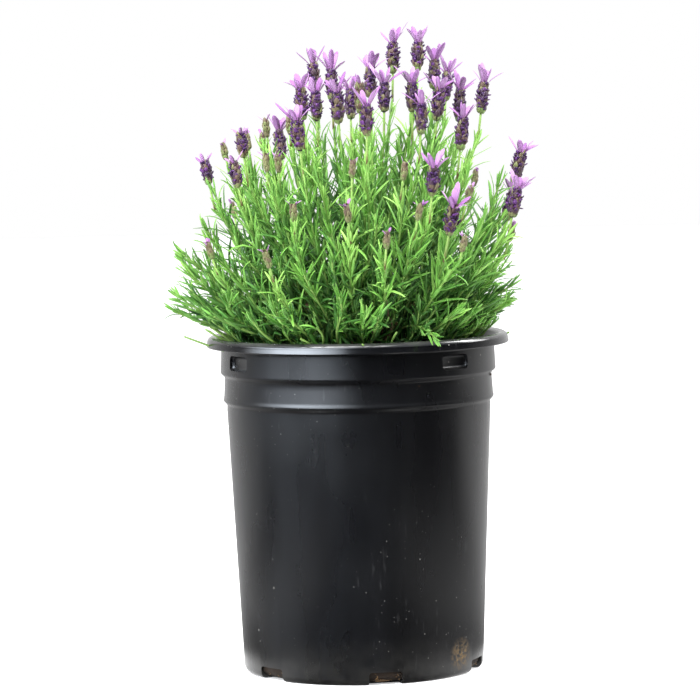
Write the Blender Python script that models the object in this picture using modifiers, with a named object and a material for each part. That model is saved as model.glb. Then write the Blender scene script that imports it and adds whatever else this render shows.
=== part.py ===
"""A Spanish lavender growing in a round nursery pot.

Metres, +Z up. The pot stands on Z = 0 with its centre at the origin, and its front faces -Y.
Each driving size is named once below. Whatever fits, seats on or passes something takes its
place from those sizes and a named gap.
"""

import math

import bmesh
import bpy
import numpy as np
from mathutils import Matrix, Vector

# ---------------------------------------------------------------- sizes, in metres and degrees
GAP = 0.0003
WELD = 0.00001
NEARLY_UPRIGHT = 0.999

# Pot: overall, and how far below its top edge each band ends.
POT_HEIGHT = 0.1835
RIM_RADIUS = 0.0825
RIM_DEPTH = 0.0072
RIM_WIDTH = 0.0034
RIM_LIP = 0.0012
WALL = 0.0015
FLOOR = 0.0018
BAND_RADIUS = 0.0749
BAND_DROP = 0.0205
LOWER_BAND_RADIUS = 0.0736
LOWER_BAND_DROP = 0.0357
BODY_RADIUS = 0.0720
BASE_RADIUS = 0.0657
STEP_SLOPE = 0.0025
FOOT_ROUND = 0.0035
POT_SIDES = 60
RIM_ARC_STEPS = 5
FOOT_ARC_STEPS = 3

# Drain notches, evenly spaced around the foot of the pot.
NOTCH_COUNT = 6
NOTCH_WIDTH = 0.018
NOTCH_HEIGHT = 0.007
NOTCH_REACH = 0.009
NOTCH_TURN = 10.0
NOTCH_ROUND = 0.0015

# Closed finger pockets pressed into the upper band, right under the rim, in opposite pairs.
POCKET_ANGLES = (-60.0, 44.0, 120.0, 224.0)
POCKET_WIDTH = 0.019
POCKET_HEIGHT = 0.008
POCKET_DEPTH = 0.0024
POCKET_DROP = 0.0015

# Potting mix and the woody crown that the shoots spring from.
MIX_DROP = 0.0235
MIX_DOME = 0.0015
CROWN_RADIUS = 0.014
CROWN_RISE = 0.002
CROWN_SIDES = 14
CROWN_RINGS = 8
SEAT_ARC_STEPS = 5

# Leafy shoots.
STEM_RADIUS = 0.0009
STEM_TAPER = 0.65
STEM_POINTS = 6
ROUTE_STEPS = 60
ARCH = 0.8
LEAF_LENGTH = 0.016
LEAF_WIDTH = 0.0020
LEAF_THICKNESS = 0.0007
LEAF_SPREAD = 52.0
LEAF_FOOT = 0.0003
LEAF_SPACING = 0.0170
BARE_STEM = 0.030
SHORTEST_LEAF = 0.004
# A leaf takes under half of the room to the next stem, so that leaves of two stems never meet.
LEAF_SHARE = 0.45

# Two rings of flowerless shoots: how many, how far they reach past the rim, how high they rise
# over the pot's top edge, and the turn of the first. Both rings sit a little to the left.
LOW_RING = {"count": 12, "reach": 0.0085, "rise": 0.0145, "turn": 12.0}
MIDDLE_RING = {"count": 8, "reach": 0.0035, "rise": 0.0445, "turn": 41.8}
RING_SHIFT = -0.008

# Flower heads: the middle of each spike across, in depth, and over the pot's top edge.
HEAD_PLACES = (
    (0.023, 0.037, 0.1495),
    (0.036, 0.000, 0.1505),
    (0.053, 0.060, 0.1335),
    (0.071, 0.010, 0.1265),
    (0.058, -0.029, 0.1075),
    (0.036, -0.058, 0.1165),
    (0.017, -0.031, 0.1285),
    (-0.001, 0.067, 0.1245),
    (-0.011, -0.008, 0.1355),
    (0.007, -0.079, 0.1165),
    (-0.021, 0.030, 0.1395),
    (-0.027, -0.044, 0.1255),
    (-0.041, 0.065, 0.1025),
    (-0.081, 0.015, 0.0905),
    (-0.060, -0.022, 0.1055),
    (0.041, -0.082, 0.0845),
    (0.088, -0.021, 0.0885),
    (0.085, 0.021, 0.0665),
)
HEAD_LEAN = 0.22
HEAD_TWIST = 17.0
STALK_RADIUS = 0.0006
STALK_LENGTH = 0.014
SPIKE_LENGTH = 0.017
SPIKE_WIDTH = 0.0085
SPIKE_SIDES = 7
SPIKE_RINGS = 5
BRACT_COUNT = 4
BRACT_LENGTH = 0.0115
BRACT_WIDTH = 0.0030
BRACT_THICKNESS = 0.0008
BRACT_SPREAD = 32.0
BRACT_TURN = 33.0
BRACT_FOOT = 0.0012
# How far the tuft of bracts starts below the top of the spike.
TUFT_DROP = 0.0024
HEAD_SAMPLES = 8

# ---------------------------------------------------------------- finishes
POT_BLACK = ((0.012, 0.012, 0.014), 0.38)
MIX_BROWN = ((0.060, 0.035, 0.020), 0.95)
WOOD_BROWN = ((0.130, 0.085, 0.050), 0.85)
LEAF_GREEN = ((0.150, 0.330, 0.060), 0.60)
LILAC = ((0.420, 0.200, 0.560), 0.55)

# ---------------------------------------------------------------- places worked out from the sizes
MIX_TOP = POT_HEIGHT - MIX_DROP
CROWN_CENTRE = Vector((0.0, 0.0, MIX_TOP + MIX_DOME + CROWN_RISE))
SHOOT_START = CROWN_RADIUS + GAP
RIM_CENTRE_RADIUS = RIM_RADIUS - RIM_DEPTH / 2
RIM_CENTRE_HEIGHT = POT_HEIGHT - RIM_DEPTH / 2
HEAD_REACH = SPIKE_WIDTH / 2 + BRACT_LENGTH * math.sin(math.radians(BRACT_SPREAD))


# ---------------------------------------------------------------- helpers
def clear_scene():
    """Remove every object, so that the script can run in any open file."""
    for obj in list(bpy.data.objects):
        bpy.data.objects.remove(obj, do_unlink=True)


def new_collection(name):
    """A collection linked to the scene."""
    collection = bpy.data.collections.new(name)
    bpy.context.scene.collection.children.link(collection)
    return collection


def new_material(name, finish):
    """A Principled BSDF with a colour and a roughness."""
    colour, roughness = finish
    material = bpy.data.materials.new(name)
    material.use_nodes = True
    shader = material.node_tree.nodes["Principled BSDF"]
    shader.inputs["Base Color"].default_value = (*colour, 1.0)
    shader.inputs["Roughness"].default_value = roughness
    return material


def place(name, mesh, collection, finish=None):
    """An object in a collection, with a material of its own where it is a part."""
    obj = bpy.data.objects.new(name, mesh)
    collection.objects.link(obj)
    if finish is not None:
        obj.data.materials.append(new_material(name, finish))
    return obj


def hide_cutter(obj):
    """Show a cutter as wires and keep it out of renders."""
    obj.hide_render = True
    obj.display_type = "WIRE"


def add_boolean(obj, other, operation):
    """Cut another object from this one, or join it on, with the exact solver."""
    hide_cutter(other)
    modifier = obj.modifiers.new(other.name, "BOOLEAN")
    modifier.operation = operation
    modifier.solver = "EXACT"
    modifier.object = other


def turned(name, outline, collection, finish, sides):
    """A solid turned about Z from (radius, height) points that run down its outer side."""
    mesh = bpy.data.meshes.new(name)
    bm = bmesh.new()
    points = [bm.verts.new((radius, 0.0, height)) for radius, height in outline]
    for first, second in zip(points, points[1:]):
        bm.edges.new((first, second))
    bm.to_mesh(mesh)
    bm.free()
    obj = place(name, mesh, collection, finish)
    screw = obj.modifiers.new("Turn", "SCREW")
    screw.steps = sides
    screw.render_steps = sides
    screw.use_merge_vertices = True
    screw.merge_threshold = WELD
    return obj


def arc(centre, radius, start, end, count):
    """Points on an arc in the profile plane, between two angles in degrees."""
    angles = [math.radians(start + (end - start) * step / count) for step in range(count + 1)]
    return [(centre[0] + radius * math.cos(a), centre[1] + radius * math.sin(a)) for a in angles]


def tube(name, points, radii, collection):
    """A round tube through the points, as a mesh whose end caps are welded on."""
    curve = bpy.data.curves.new(name, "CURVE")
    curve.dimensions = "3D"
    curve.bevel_depth = 1.0
    curve.bevel_resolution = 1
    curve.use_fill_caps = True
    spline = curve.splines.new("POLY")
    spline.points.add(len(points) - 1)
    for knot, point, radius in zip(spline.points, points, radii):
        knot.co = (*point, 1.0)
        knot.radius = radius
    holder = bpy.data.objects.new(name + "_curve", curve)
    collection.objects.link(holder)
    graph = bpy.context.evaluated_depsgraph_get()
    mesh = bpy.data.meshes.new_from_object(holder.evaluated_get(graph))
    bm = bmesh.new()
    bm.from_mesh(mesh)
    bmesh.ops.remove_doubles(bm, verts=bm.verts, dist=WELD)
    bmesh.ops.recalc_face_normals(bm, faces=bm.faces)
    bm.to_mesh(mesh)
    bm.free()
    mesh.name = name
    mesh.transform(holder.matrix_world)
    bpy.data.objects.remove(holder)
    return mesh


def add_blade(bm, base, along, flat, length, width, thickness):
    """A slim blade with a pointed foot at base, running along one way and flat across another."""
    across = along.cross(flat).normalized()
    face = across.cross(along).normalized()
    turn = Matrix((across, face, along)).transposed().to_4x4()
    size = Matrix.Diagonal((width / 2, thickness / 2, length / 2, 1.0))
    shift = Matrix.Translation(base + along * (length / 2))
    bmesh.ops.create_uvsphere(bm, u_segments=4, v_segments=2, radius=1.0, matrix=shift @ turn @ size)


def side_ways(along):
    """Two directions square to a line and to each other."""
    square = Vector((0.0, 1.0, 0.0)) if abs(along.z) > NEARLY_UPRIGHT else Vector((0.0, 0.0, 1.0))
    first = along.cross(square).normalized()
    return first, along.cross(first).normalized()


# ---------------------------------------------------------------- pot
def wall_outline(inset):
    """The pot's wall from under the rim to the foot, this far inside its outer face."""
    lower_step = POT_HEIGHT - LOWER_BAND_DROP
    upper_step = POT_HEIGHT - BAND_DROP
    return [
        (BAND_RADIUS - inset, upper_step),
        (LOWER_BAND_RADIUS - inset, upper_step - STEP_SLOPE),
        (LOWER_BAND_RADIUS - inset, lower_step),
        (BODY_RADIUS - inset, lower_step - STEP_SLOPE),
    ]


def foot_outline(inset, bottom):
    """The rounded foot of the wall, this far inside its outer face, ending on the axis."""
    corner = max(FOOT_ROUND - inset, WALL / 2)
    centre = (BASE_RADIUS - inset - corner, bottom + corner)
    return arc(centre, corner, 0.0, -90.0, FOOT_ARC_STEPS) + [(0.0, bottom)]


def make_pot(parts, cutters):
    """A thin-walled pot: rolled rim, two stepped bands, tapered body, notched foot."""
    rim_foot = POT_HEIGHT - RIM_DEPTH
    inside = foot_outline(WALL, FLOOR)[::-1] + wall_outline(WALL)[::-1]
    mouth = [(BAND_RADIUS - WALL, rim_foot), (BAND_RADIUS, POT_HEIGHT - RIM_LIP)]
    roll = arc((0.0, 0.0), 1.0, 90.0, 0.0, RIM_ARC_STEPS)
    rim = [(RIM_RADIUS - RIM_WIDTH * (1.0 - x), rim_foot + RIM_DEPTH * z) for x, z in roll]
    under = [
        (RIM_RADIUS - RIM_LIP, rim_foot),
        (RIM_RADIUS - RIM_LIP - WALL / 2, rim_foot + RIM_LIP),
        (BAND_RADIUS + WALL, rim_foot + RIM_LIP),
        (BAND_RADIUS, rim_foot - RIM_LIP),
    ]
    outside = rim + under + wall_outline(0.0) + foot_outline(0.0, 0.0)
    pot = turned("nursery_pot", inside + mouth + outside, parts, POT_BLACK, POT_SIDES)
    add_pockets(pot, cutters)
    add_boolean(pot, notch_cutter(cutters), "DIFFERENCE")
    return pot


def ring_of_blocks(name, angles, size, radius, height, cutters):
    """Blocks of one size set around Z, each facing outward, angles measured from the front."""
    mesh = bpy.data.meshes.new(name)
    bm = bmesh.new()
    for angle in angles:
        turn = Matrix.Rotation(math.radians(angle), 4, "Z")
        shift = Matrix.Translation((0.0, -radius, height))
        bmesh.ops.create_cube(bm, size=1.0, matrix=turn @ shift @ Matrix.Diagonal((*size, 1.0)))
    bm.to_mesh(mesh)
    bm.free()
    return place(name, mesh, cutters)


def notch_cutter(cutters):
    """One block per drain notch, reaching in from outside the foot and down through it."""
    angles = [NOTCH_TURN + 360.0 / NOTCH_COUNT * step for step in range(NOTCH_COUNT)]
    depth = NOTCH_REACH * 2
    size = (NOTCH_WIDTH, depth, NOTCH_HEIGHT * 2)
    radius = BASE_RADIUS - NOTCH_REACH + depth / 2
    notches = ring_of_blocks("drain_notches", angles, size, radius, 0.0, cutters)
    rounding = notches.modifiers.new("Round", "BEVEL")
    rounding.width = NOTCH_ROUND
    rounding.segments = 2
    return notches


def add_pockets(pot, cutters):
    """Back each pocket with a boss inside the wall, then press the pocket in from outside."""
    middle = POT_HEIGHT - RIM_DEPTH - POCKET_DROP - POCKET_HEIGHT / 2
    face = BAND_RADIUS * math.cos(POCKET_WIDTH / 2 / BAND_RADIUS)
    floor = face - POCKET_DEPTH
    boss_size = (POCKET_WIDTH + 2 * WALL, POCKET_DEPTH + WALL / 2, POCKET_HEIGHT + 2 * WALL)
    boss_radius = floor - WALL + boss_size[1] / 2
    bosses = ring_of_blocks("pocket_bosses", POCKET_ANGLES, boss_size, boss_radius, middle, cutters)
    cut_size = (POCKET_WIDTH, POCKET_DEPTH * 3, POCKET_HEIGHT)
    cut_radius = floor + cut_size[1] / 2
    pockets = ring_of_blocks("pocket_cuts", POCKET_ANGLES, cut_size, cut_radius, middle, cutters)
    add_boolean(pot, bosses, "UNION")
    add_boolean(pot, pockets, "DIFFERENCE")


# ---------------------------------------------------------------- potting mix and crown
def make_mix(parts):
    """The potting mix fills the pot and dips in the middle to hold the crown."""
    inset = WALL + GAP
    seat = CROWN_RADIUS + GAP
    top = MIX_TOP + MIX_DOME
    sink = math.degrees(math.asin((top - CROWN_CENTRE.z) / seat))
    dip = arc((0.0, CROWN_CENTRE.z), seat, -90.0, sink, SEAT_ARC_STEPS)
    dip[0] = (0.0, dip[0][1])
    wall = [point for point in wall_outline(inset) if point[1] < MIX_TOP]
    edge = [(wall[0][0], MIX_TOP)]
    outline = dip + edge + wall + foot_outline(inset, FLOOR + GAP)
    return turned("potting_mix", outline, parts, MIX_BROWN, POT_SIDES)


def make_crown(parts):
    """The woody crown, a rounded knot of old wood half sunk in the mix."""
    mesh = bpy.data.meshes.new("woody_crown")
    bm = bmesh.new()
    middle = Matrix.Translation(CROWN_CENTRE)
    bmesh.ops.create_uvsphere(
        bm, u_segments=CROWN_SIDES, v_segments=CROWN_RINGS, radius=CROWN_RADIUS, matrix=middle
    )
    bm.to_mesh(mesh)
    bm.free()
    return place("woody_crown", mesh, parts, WOOD_BROWN)


# ---------------------------------------------------------------- routes of the shoots
def head_axis(place_over_rim):
    """The way a flower head points: upright, leaning a little outward."""
    across, deep, rise = place_over_rim
    return Vector((across * HEAD_LEAN, deep * HEAD_LEAN, rise)).normalized()


def ring_ends(ring):
    """Tips of one ring of flowerless shoots."""
    reach = RIM_RADIUS + ring["reach"]
    height = POT_HEIGHT + ring["rise"]
    angles = [math.radians(ring["turn"] + 360.0 / ring["count"] * step) for step in range(ring["count"])]
    return [Vector((RING_SHIFT + reach * math.cos(a), reach * math.sin(a), height)) for a in angles]


def flower_tip(place_over_rim):
    """Tip of the leafy shoot under a flower head, and the head's own direction."""
    axis = head_axis(place_over_rim)
    middle = Vector((place_over_rim[0], place_over_rim[1], POT_HEIGHT + place_over_rim[2]))
    return middle - axis * (SPIKE_LENGTH / 2 + STALK_LENGTH), axis


def route(tip):
    """Points from the crown to a tip. Shoots set out low and arch up, and no two ever cross."""
    span = tip - CROWN_CENTRE
    start = SHOOT_START / span.length
    for _ in range(ROUTE_STEPS):
        out = Vector((span.x * start**ARCH, span.y * start**ARCH, span.z * start))
        start *= SHOOT_START / out.length
    shares = [start + (1.0 - start) * step / ROUTE_STEPS for step in range(ROUTE_STEPS + 1)]
    return [CROWN_CENTRE + Vector((span.x * s**ARCH, span.y * s**ARCH, span.z * s)) for s in shares]


# ---------------------------------------------------------------- leafy shoots
def room_at(point, others, heads):
    """How long a leaf that starts here may be, so that none can meet another piece."""
    foot = np.array(point)
    stems = LEAF_SHARE * (np.linalg.norm(others - foot, axis=1).min() - 2 * STEM_RADIUS)
    flowers = np.linalg.norm(heads - foot, axis=1).min() - HEAD_REACH
    rim = math.hypot(math.hypot(point.x, point.y) - RIM_CENTRE_RADIUS, point.z - RIM_CENTRE_HEIGHT)
    mix = point.z - MIX_TOP - MIX_DOME
    return min(stems, flowers, rim - RIM_DEPTH, mix) - GAP


def leaf_pairs(points, others, heads):
    """(foot, direction, face, length) of each leaf: opposite pairs, each pair square to the last."""
    leaves = []
    walked = SHOOT_START
    next_pair = BARE_STEM
    quarter = 0
    for here, after in zip(points, points[1:]):
        walked += (after - here).length
        if walked < next_pair:
            continue
        next_pair = walked + LEAF_SPACING
        quarter += 1
        along = (after - here).normalized()
        sides = side_ways(along)
        way = sides[quarter % 2]
        length = min(LEAF_LENGTH, room_at(here, others, heads))
        if length < SHORTEST_LEAF:
            continue
        spread = math.radians(LEAF_SPREAD)
        for side in (way, -way):
            direction = along * math.cos(spread) + side * math.sin(spread)
            leaves.append((here + side * LEAF_FOOT, direction, along, length))
    return leaves


def make_shoot(name, points, others, heads, parts, cutters):
    """A tapering stem with its leaves grown onto it, as one closed solid."""
    picked = [points[round(step * (len(points) - 1) / (STEM_POINTS - 1))] for step in range(STEM_POINTS)]
    shares = [step / (STEM_POINTS - 1) for step in range(STEM_POINTS)]
    radii = [STEM_RADIUS * (1.0 - (1.0 - STEM_TAPER) * share) for share in shares]
    shoot = place(name, tube(name, picked, radii, cutters), parts, LEAF_GREEN)
    mesh = bpy.data.meshes.new(name + "_leaves")
    bm = bmesh.new()
    for foot, direction, face, length in leaf_pairs(points, others, heads):
        add_blade(bm, foot, direction, face, length, LEAF_WIDTH, LEAF_THICKNESS)
    bm.to_mesh(mesh)
    bm.free()
    add_boolean(shoot, place(name + "_leaves", mesh, cutters), "UNION")
    return shoot


# ---------------------------------------------------------------- flower heads
def make_head(name, tip, axis, parts, cutters):
    """A flower head as one closed solid: stalk, spike, and a tuft of bracts on top."""
    stalk_foot = tip + axis * GAP
    spike_foot = tip + axis * STALK_LENGTH
    middle = spike_foot + axis * SPIKE_LENGTH / 2
    top = spike_foot + axis * (SPIKE_LENGTH - TUFT_DROP)
    twist = Matrix.Rotation(math.radians(HEAD_TWIST), 3, axis)
    first, second = (twist @ side for side in side_ways(axis))
    turn = Matrix((first, second, axis)).transposed().to_4x4()
    mesh = bpy.data.meshes.new(name)
    bm = bmesh.new()
    size = Matrix.Diagonal((SPIKE_WIDTH / 2, SPIKE_WIDTH / 2, SPIKE_LENGTH / 2, 1.0))
    pose = Matrix.Translation(middle) @ turn @ size
    bmesh.ops.create_uvsphere(
        bm, u_segments=SPIKE_SIDES, v_segments=SPIKE_RINGS, radius=1.0, matrix=pose
    )
    bm.to_mesh(mesh)
    bm.free()
    head = place(name, mesh, parts, LILAC)
    radii = [STALK_RADIUS, STALK_RADIUS]
    stalk = tube(name + "_stalk", [stalk_foot, middle], radii, cutters)
    add_boolean(head, place(name + "_stalk", stalk, cutters), "UNION")
    tuft = bpy.data.meshes.new(name + "_bracts")
    bm = bmesh.new()
    spread = math.radians(BRACT_SPREAD)
    for step in range(BRACT_COUNT):
        angle = math.radians(BRACT_TURN + 360.0 * step / BRACT_COUNT)
        side = first * math.cos(angle) + second * math.sin(angle)
        direction = axis * math.cos(spread) + side * math.sin(spread)
        foot = top + side * BRACT_FOOT
        add_blade(bm, foot, direction, axis, BRACT_LENGTH, BRACT_WIDTH, BRACT_THICKNESS)
    bm.to_mesh(tuft)
    bm.free()
    add_boolean(head, place(name + "_bracts", tuft, cutters), "UNION")
    return head


# ---------------------------------------------------------------- assembly
def make_plant(parts, cutters):
    """All shoots and flower heads. Every route is laid out first, so that leaves can keep clear."""
    flowers = [flower_tip(spot) for spot in HEAD_PLACES]
    tips = [tip for tip, _ in flowers] + ring_ends(MIDDLE_RING) + ring_ends(LOW_RING)
    names = [f"flowering_shoot_{n + 1:02d}" for n in range(len(flowers))]
    names += [f"middle_shoot_{n + 1:02d}" for n in range(MIDDLE_RING["count"])]
    names += [f"low_shoot_{n + 1:02d}" for n in range(LOW_RING["count"])]
    routes = [route(tip) for tip in tips]
    spans = np.linspace(STALK_LENGTH, STALK_LENGTH + SPIKE_LENGTH + BRACT_LENGTH, HEAD_SAMPLES)
    heads = np.array([tip + axis * float(span) for tip, axis in flowers for span in spans])
    for index, name in enumerate(names):
        others = np.array([p for other, line in enumerate(routes) if other != index for p in line])
        make_shoot(name, routes[index], others, heads, parts, cutters)
    for index, (tip, axis) in enumerate(flowers):
        make_head(f"flower_head_{index + 1:02d}", tip, axis, parts, cutters)


def main():
    """Build the whole object."""
    clear_scene()
    parts = new_collection("potted_lavender")
    cutters = new_collection("cutters")
    make_pot(parts, cutters)
    make_mix(parts)
    make_crown(parts)
    make_plant(parts, cutters)


main()
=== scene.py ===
# %% [markdown]
# # A potted lavender, finished piece by piece
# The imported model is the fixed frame: it says where the pot, the mix, the woody crown and each
# shoot and flower head stand. Every piece below is built around those places. All lengths are
# in metres, +Z is up and the front of the pot faces -Y.

# %% Load the frame
import math

import bmesh
import bpy
import numpy as np
from mathutils import Matrix, Vector, noise


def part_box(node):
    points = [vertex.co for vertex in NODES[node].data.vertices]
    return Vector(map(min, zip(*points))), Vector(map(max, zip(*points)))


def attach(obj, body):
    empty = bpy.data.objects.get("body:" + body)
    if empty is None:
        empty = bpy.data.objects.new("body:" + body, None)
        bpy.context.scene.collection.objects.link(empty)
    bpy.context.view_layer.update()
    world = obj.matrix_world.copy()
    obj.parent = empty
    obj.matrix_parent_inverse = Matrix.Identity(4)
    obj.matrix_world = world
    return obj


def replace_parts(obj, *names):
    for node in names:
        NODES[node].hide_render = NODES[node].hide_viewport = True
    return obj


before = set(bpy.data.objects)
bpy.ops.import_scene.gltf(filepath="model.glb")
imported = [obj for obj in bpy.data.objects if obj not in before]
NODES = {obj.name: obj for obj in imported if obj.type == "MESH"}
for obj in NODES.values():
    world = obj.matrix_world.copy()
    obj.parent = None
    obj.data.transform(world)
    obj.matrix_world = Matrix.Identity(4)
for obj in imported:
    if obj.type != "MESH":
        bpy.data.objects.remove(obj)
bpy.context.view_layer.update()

MM = 0.001

# %% [markdown]
# ## Camera
# A long lens from nearly two metres away keeps the pot's walls almost parallel, as in a studio
# picture of a product. The camera stands a little above the pot's rim and looks slightly down,
# and it leans by about one degree.

# %% Camera
CAMERA_PLACE = (-0.0042, -1.876, 0.3135)
CAMERA_PITCH = 4.24
CAMERA_LEAN = 1.2
CAMERA_LENS = 177.0

scene = bpy.context.scene
camera_data = bpy.data.cameras.new("studio camera")
camera_data.lens = CAMERA_LENS
camera_data.clip_end = 50.0
camera = bpy.data.objects.new("studio_camera", camera_data)
scene.collection.objects.link(camera)
pitched = Matrix.Rotation(math.radians(90.0 - CAMERA_PITCH), 4, "X")
leaned = Matrix.Rotation(math.radians(-CAMERA_LEAN), 4, "Z")
camera.matrix_world = Matrix.Translation(CAMERA_PLACE) @ pitched @ leaned
scene.camera = camera
scene.view_settings.view_transform = "Standard"
print("camera:", CAMERA_LENS, "mm lens at", CAMERA_PLACE)

# %% [markdown]
# ## Node helpers
# Materials are written as short recipes. `add` places one node, sets its sockets by name and
# links what is handed to it as a socket. `spread`, `times` and `measure` are the sums that turn
# up most. A value that is the same all over a surface is set on the shader's own socket.

# %% Node helpers
def feed(tree, value, target):
    """Link a socket to a target, or set a plain value on it. Colours may leave out their alpha."""
    if isinstance(value, bpy.types.NodeSocket):
        tree.links.new(value, target)
    else:
        target.default_value = (*value, 1.0)[:4] if target.type == "RGBA" else value


def add(tree, kind, settings=None, **sockets):
    """Place a node, set its properties, and feed its sockets by name, or by number as i0, i1."""
    node = tree.nodes.new(kind)
    for key, value in (settings or {}).items():
        setattr(node, key, value)
    for key, value in sockets.items():
        numbered = key[0] == "i" and key[1:].isdigit()
        feed(tree, value, node.inputs[int(key[1:]) if numbered else key.replace("_", " ")])
    return node


def maths(tree, operation, first, second=0.5, clamp=False):
    """One Math node's result."""
    settings = {"operation": operation, "use_clamp": clamp}
    return add(tree, "ShaderNodeMath", settings=settings, i0=first, i1=second).outputs[0]


def times(tree, *values):
    """The product of several values."""
    product = values[0]
    for value in values[1:]:
        product = maths(tree, "MULTIPLY", product, value)
    return product


def axes(tree, vector):
    """A vector's X, Y and Z."""
    return tuple(add(tree, "ShaderNodeSeparateXYZ", Vector=vector).outputs)


def measure(tree, operation, first, second=(0.0, 0.0, 0.0)):
    """The LENGTH of a vector or the DISTANCE between two."""
    node = add(tree, "ShaderNodeVectorMath", settings={"operation": operation}, i0=first, i1=second)
    return node.outputs["Value"]


def blend_colours(tree, share, first, second):
    """Mix two colours by a share from 0 to 1."""
    settings = {"data_type": "RGBA"}
    return add(tree, "ShaderNodeMix", settings=settings, i0=share, i6=first, i7=second).outputs[2]


def ramp(tree, share, stops):
    """A colour ramp through (place, colour) stops."""
    node = add(tree, "ShaderNodeValToRGB", Fac=share)
    elements = node.color_ramp.elements
    while len(elements) < len(stops):
        elements.new(0.5)
    for element, (place, colour) in zip(elements, stops):
        element.position = place
        element.color = (*colour, 1.0)
    return node.outputs[0]


def spread(tree, value, low, high, new_low=0.0, new_high=1.0):
    """Stretch a value's range, with its ends held."""
    node = add(tree, "ShaderNodeMapRange", i0=value, i1=low, i2=high, i3=new_low, i4=new_high)
    return node.outputs[0]


def new_material(name):
    """An empty material with its Principled shader."""
    material = bpy.data.materials.new(name)
    material.use_nodes = True
    tree = material.node_tree
    return material, tree, tree.nodes["Principled BSDF"]


def join(tree, socket, target):
    """Link one socket to another."""
    tree.links.new(socket, target)


def new_group(name, inputs):
    """A node group with named inputs, given as (name, kind, default), and one mask as its output."""
    group = bpy.data.node_groups.new(name, "ShaderNodeTree")
    for label, kind, default in inputs:
        socket = group.interface.new_socket(label, in_out="INPUT", socket_type=kind)
        if default is not None:
            socket.default_value = default
    group.interface.new_socket("Mask", in_out="OUTPUT", socket_type=FLOAT)
    source = group.nodes.new("NodeGroupInput").outputs
    return group, source, group.nodes.new("NodeGroupOutput").inputs["Mask"]


def use_group(tree, group, **sockets):
    """Place a group in a material with its own values, and give its mask."""
    return add(tree, "ShaderNodeGroup", settings={"node_tree": group}, **sockets).outputs[0]


FLOAT, VECTOR = "NodeSocketFloat", "NodeSocketVector"
print("node helpers ready")

# %% [markdown]
# ## Studio
# The camera sees a plain white floor and backdrop. A black satin pot shows whatever stands
# around it, though, so reflected rays are given a room of their own. A Light Path node tells the
# rays apart. Cards and flags could do the same, but they would also shade the leaves.
#
# The floor is a wide white disc. In reflections it is dark in front of the pot, pale behind it
# and at its sides, and bright in a ring close to the foot, which picks out the foot's sides.

# %% Floor
FLOOR_RADIUS = 6.0
FLOOR_WHITE, FLOOR_ROUGH, FLOOR_GLOW = 0.93, 0.9, 0.42
DEPTH_START, DEPTH_END = -0.5, 0.3
DEPTH_LEVELS = ((0.0, 0.006), (0.50, 0.012), (0.62, 0.22), (1.0, 0.95))
SIDES_LEVEL, RING_LEVEL = 1.1, 1.9
bpy.ops.mesh.primitive_circle_add(vertices=96, radius=FLOOR_RADIUS, fill_type="NGON")
floor = bpy.context.object
floor.name = "studio_floor"
material, tree, shader = new_material("white floor")
shader.inputs["Base Color"].default_value = (FLOOR_WHITE, FLOOR_WHITE, FLOOR_WHITE, 1.0)
shader.inputs["Roughness"].default_value = FLOOR_ROUGH
shader.inputs["Emission Color"].default_value = (1.0, 1.0, 1.0, 1.0)
ray = add(tree, "ShaderNodeLightPath").outputs
join(tree, times(tree, ray["Is Camera Ray"], FLOOR_GLOW), shader.inputs["Emission Strength"])
spot = add(tree, "ShaderNodeTexCoord").outputs["Object"]
across, depth, _ = axes(tree, spot)
across = maths(tree, "ABSOLUTE", across)
out = measure(tree, "LENGTH", spot)
levels = [(place, (level,) * 3) for place, level in DEPTH_LEVELS]
by_depth = ramp(tree, spread(tree, depth, DEPTH_START, DEPTH_END), levels)
far = spread(tree, out, 0.12, 0.6)
sides = times(tree, spread(tree, across, 0.11, 0.22, 0.0, SIDES_LEVEL), maths(tree, "SUBTRACT", 1.0, far))
ring = times(tree, spread(tree, out, 0.11, 0.08), spread(tree, across, 0.03, 0.07, 0.0, RING_LEVEL))
level = maths(tree, "MAXIMUM", maths(tree, "MAXIMUM", by_depth, ring), sides)
mirrored = add(tree, "ShaderNodeEmission", Color=level).outputs[0]
chosen = add(tree, "ShaderNodeMixShader", i0=ray["Is Glossy Ray"], i1=shader.outputs[0], i2=mirrored)
join(tree, chosen.outputs[0], tree.nodes["Material Output"].inputs["Surface"])
material.cycles.emission_sampling = "NONE"
floor.data.materials.append(material)
print("floor radius:", FLOOR_RADIUS, "m")

# %% [markdown]
# The room is white to the camera. As plain light it is dim in front and bright behind and above,
# so the leaves keep some shade on the camera's side. In reflections it is nearly black in front
# and white behind, where the pot's edges turn pale. A low *strip* at the front left draws the lit
# line along the rim, and a *panel* above it gives the left side its cool sheen. Light sampling is
# turned off here, so that light which only reflections see keeps its full weight.

# %% Room
ROOM_DIM, ROOM_BRIGHT, MIRROR_DARK = 0.16, 0.9, 0.002
PANEL_DIM, PANEL_BRIGHT, STRIP_BRIGHT = 0.6, 6.0, 22.0
PLAIN, COOL = (1.0, 1.0, 1.0), (0.86, 0.95, 1.06)


def window(tree, *edges):
    """A soft-edged mask. Each edge is an axis, where the mask begins on it and where it is full."""
    return times(tree, *(spread(tree, axis, begin, full) for axis, begin, full in edges))


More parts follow.
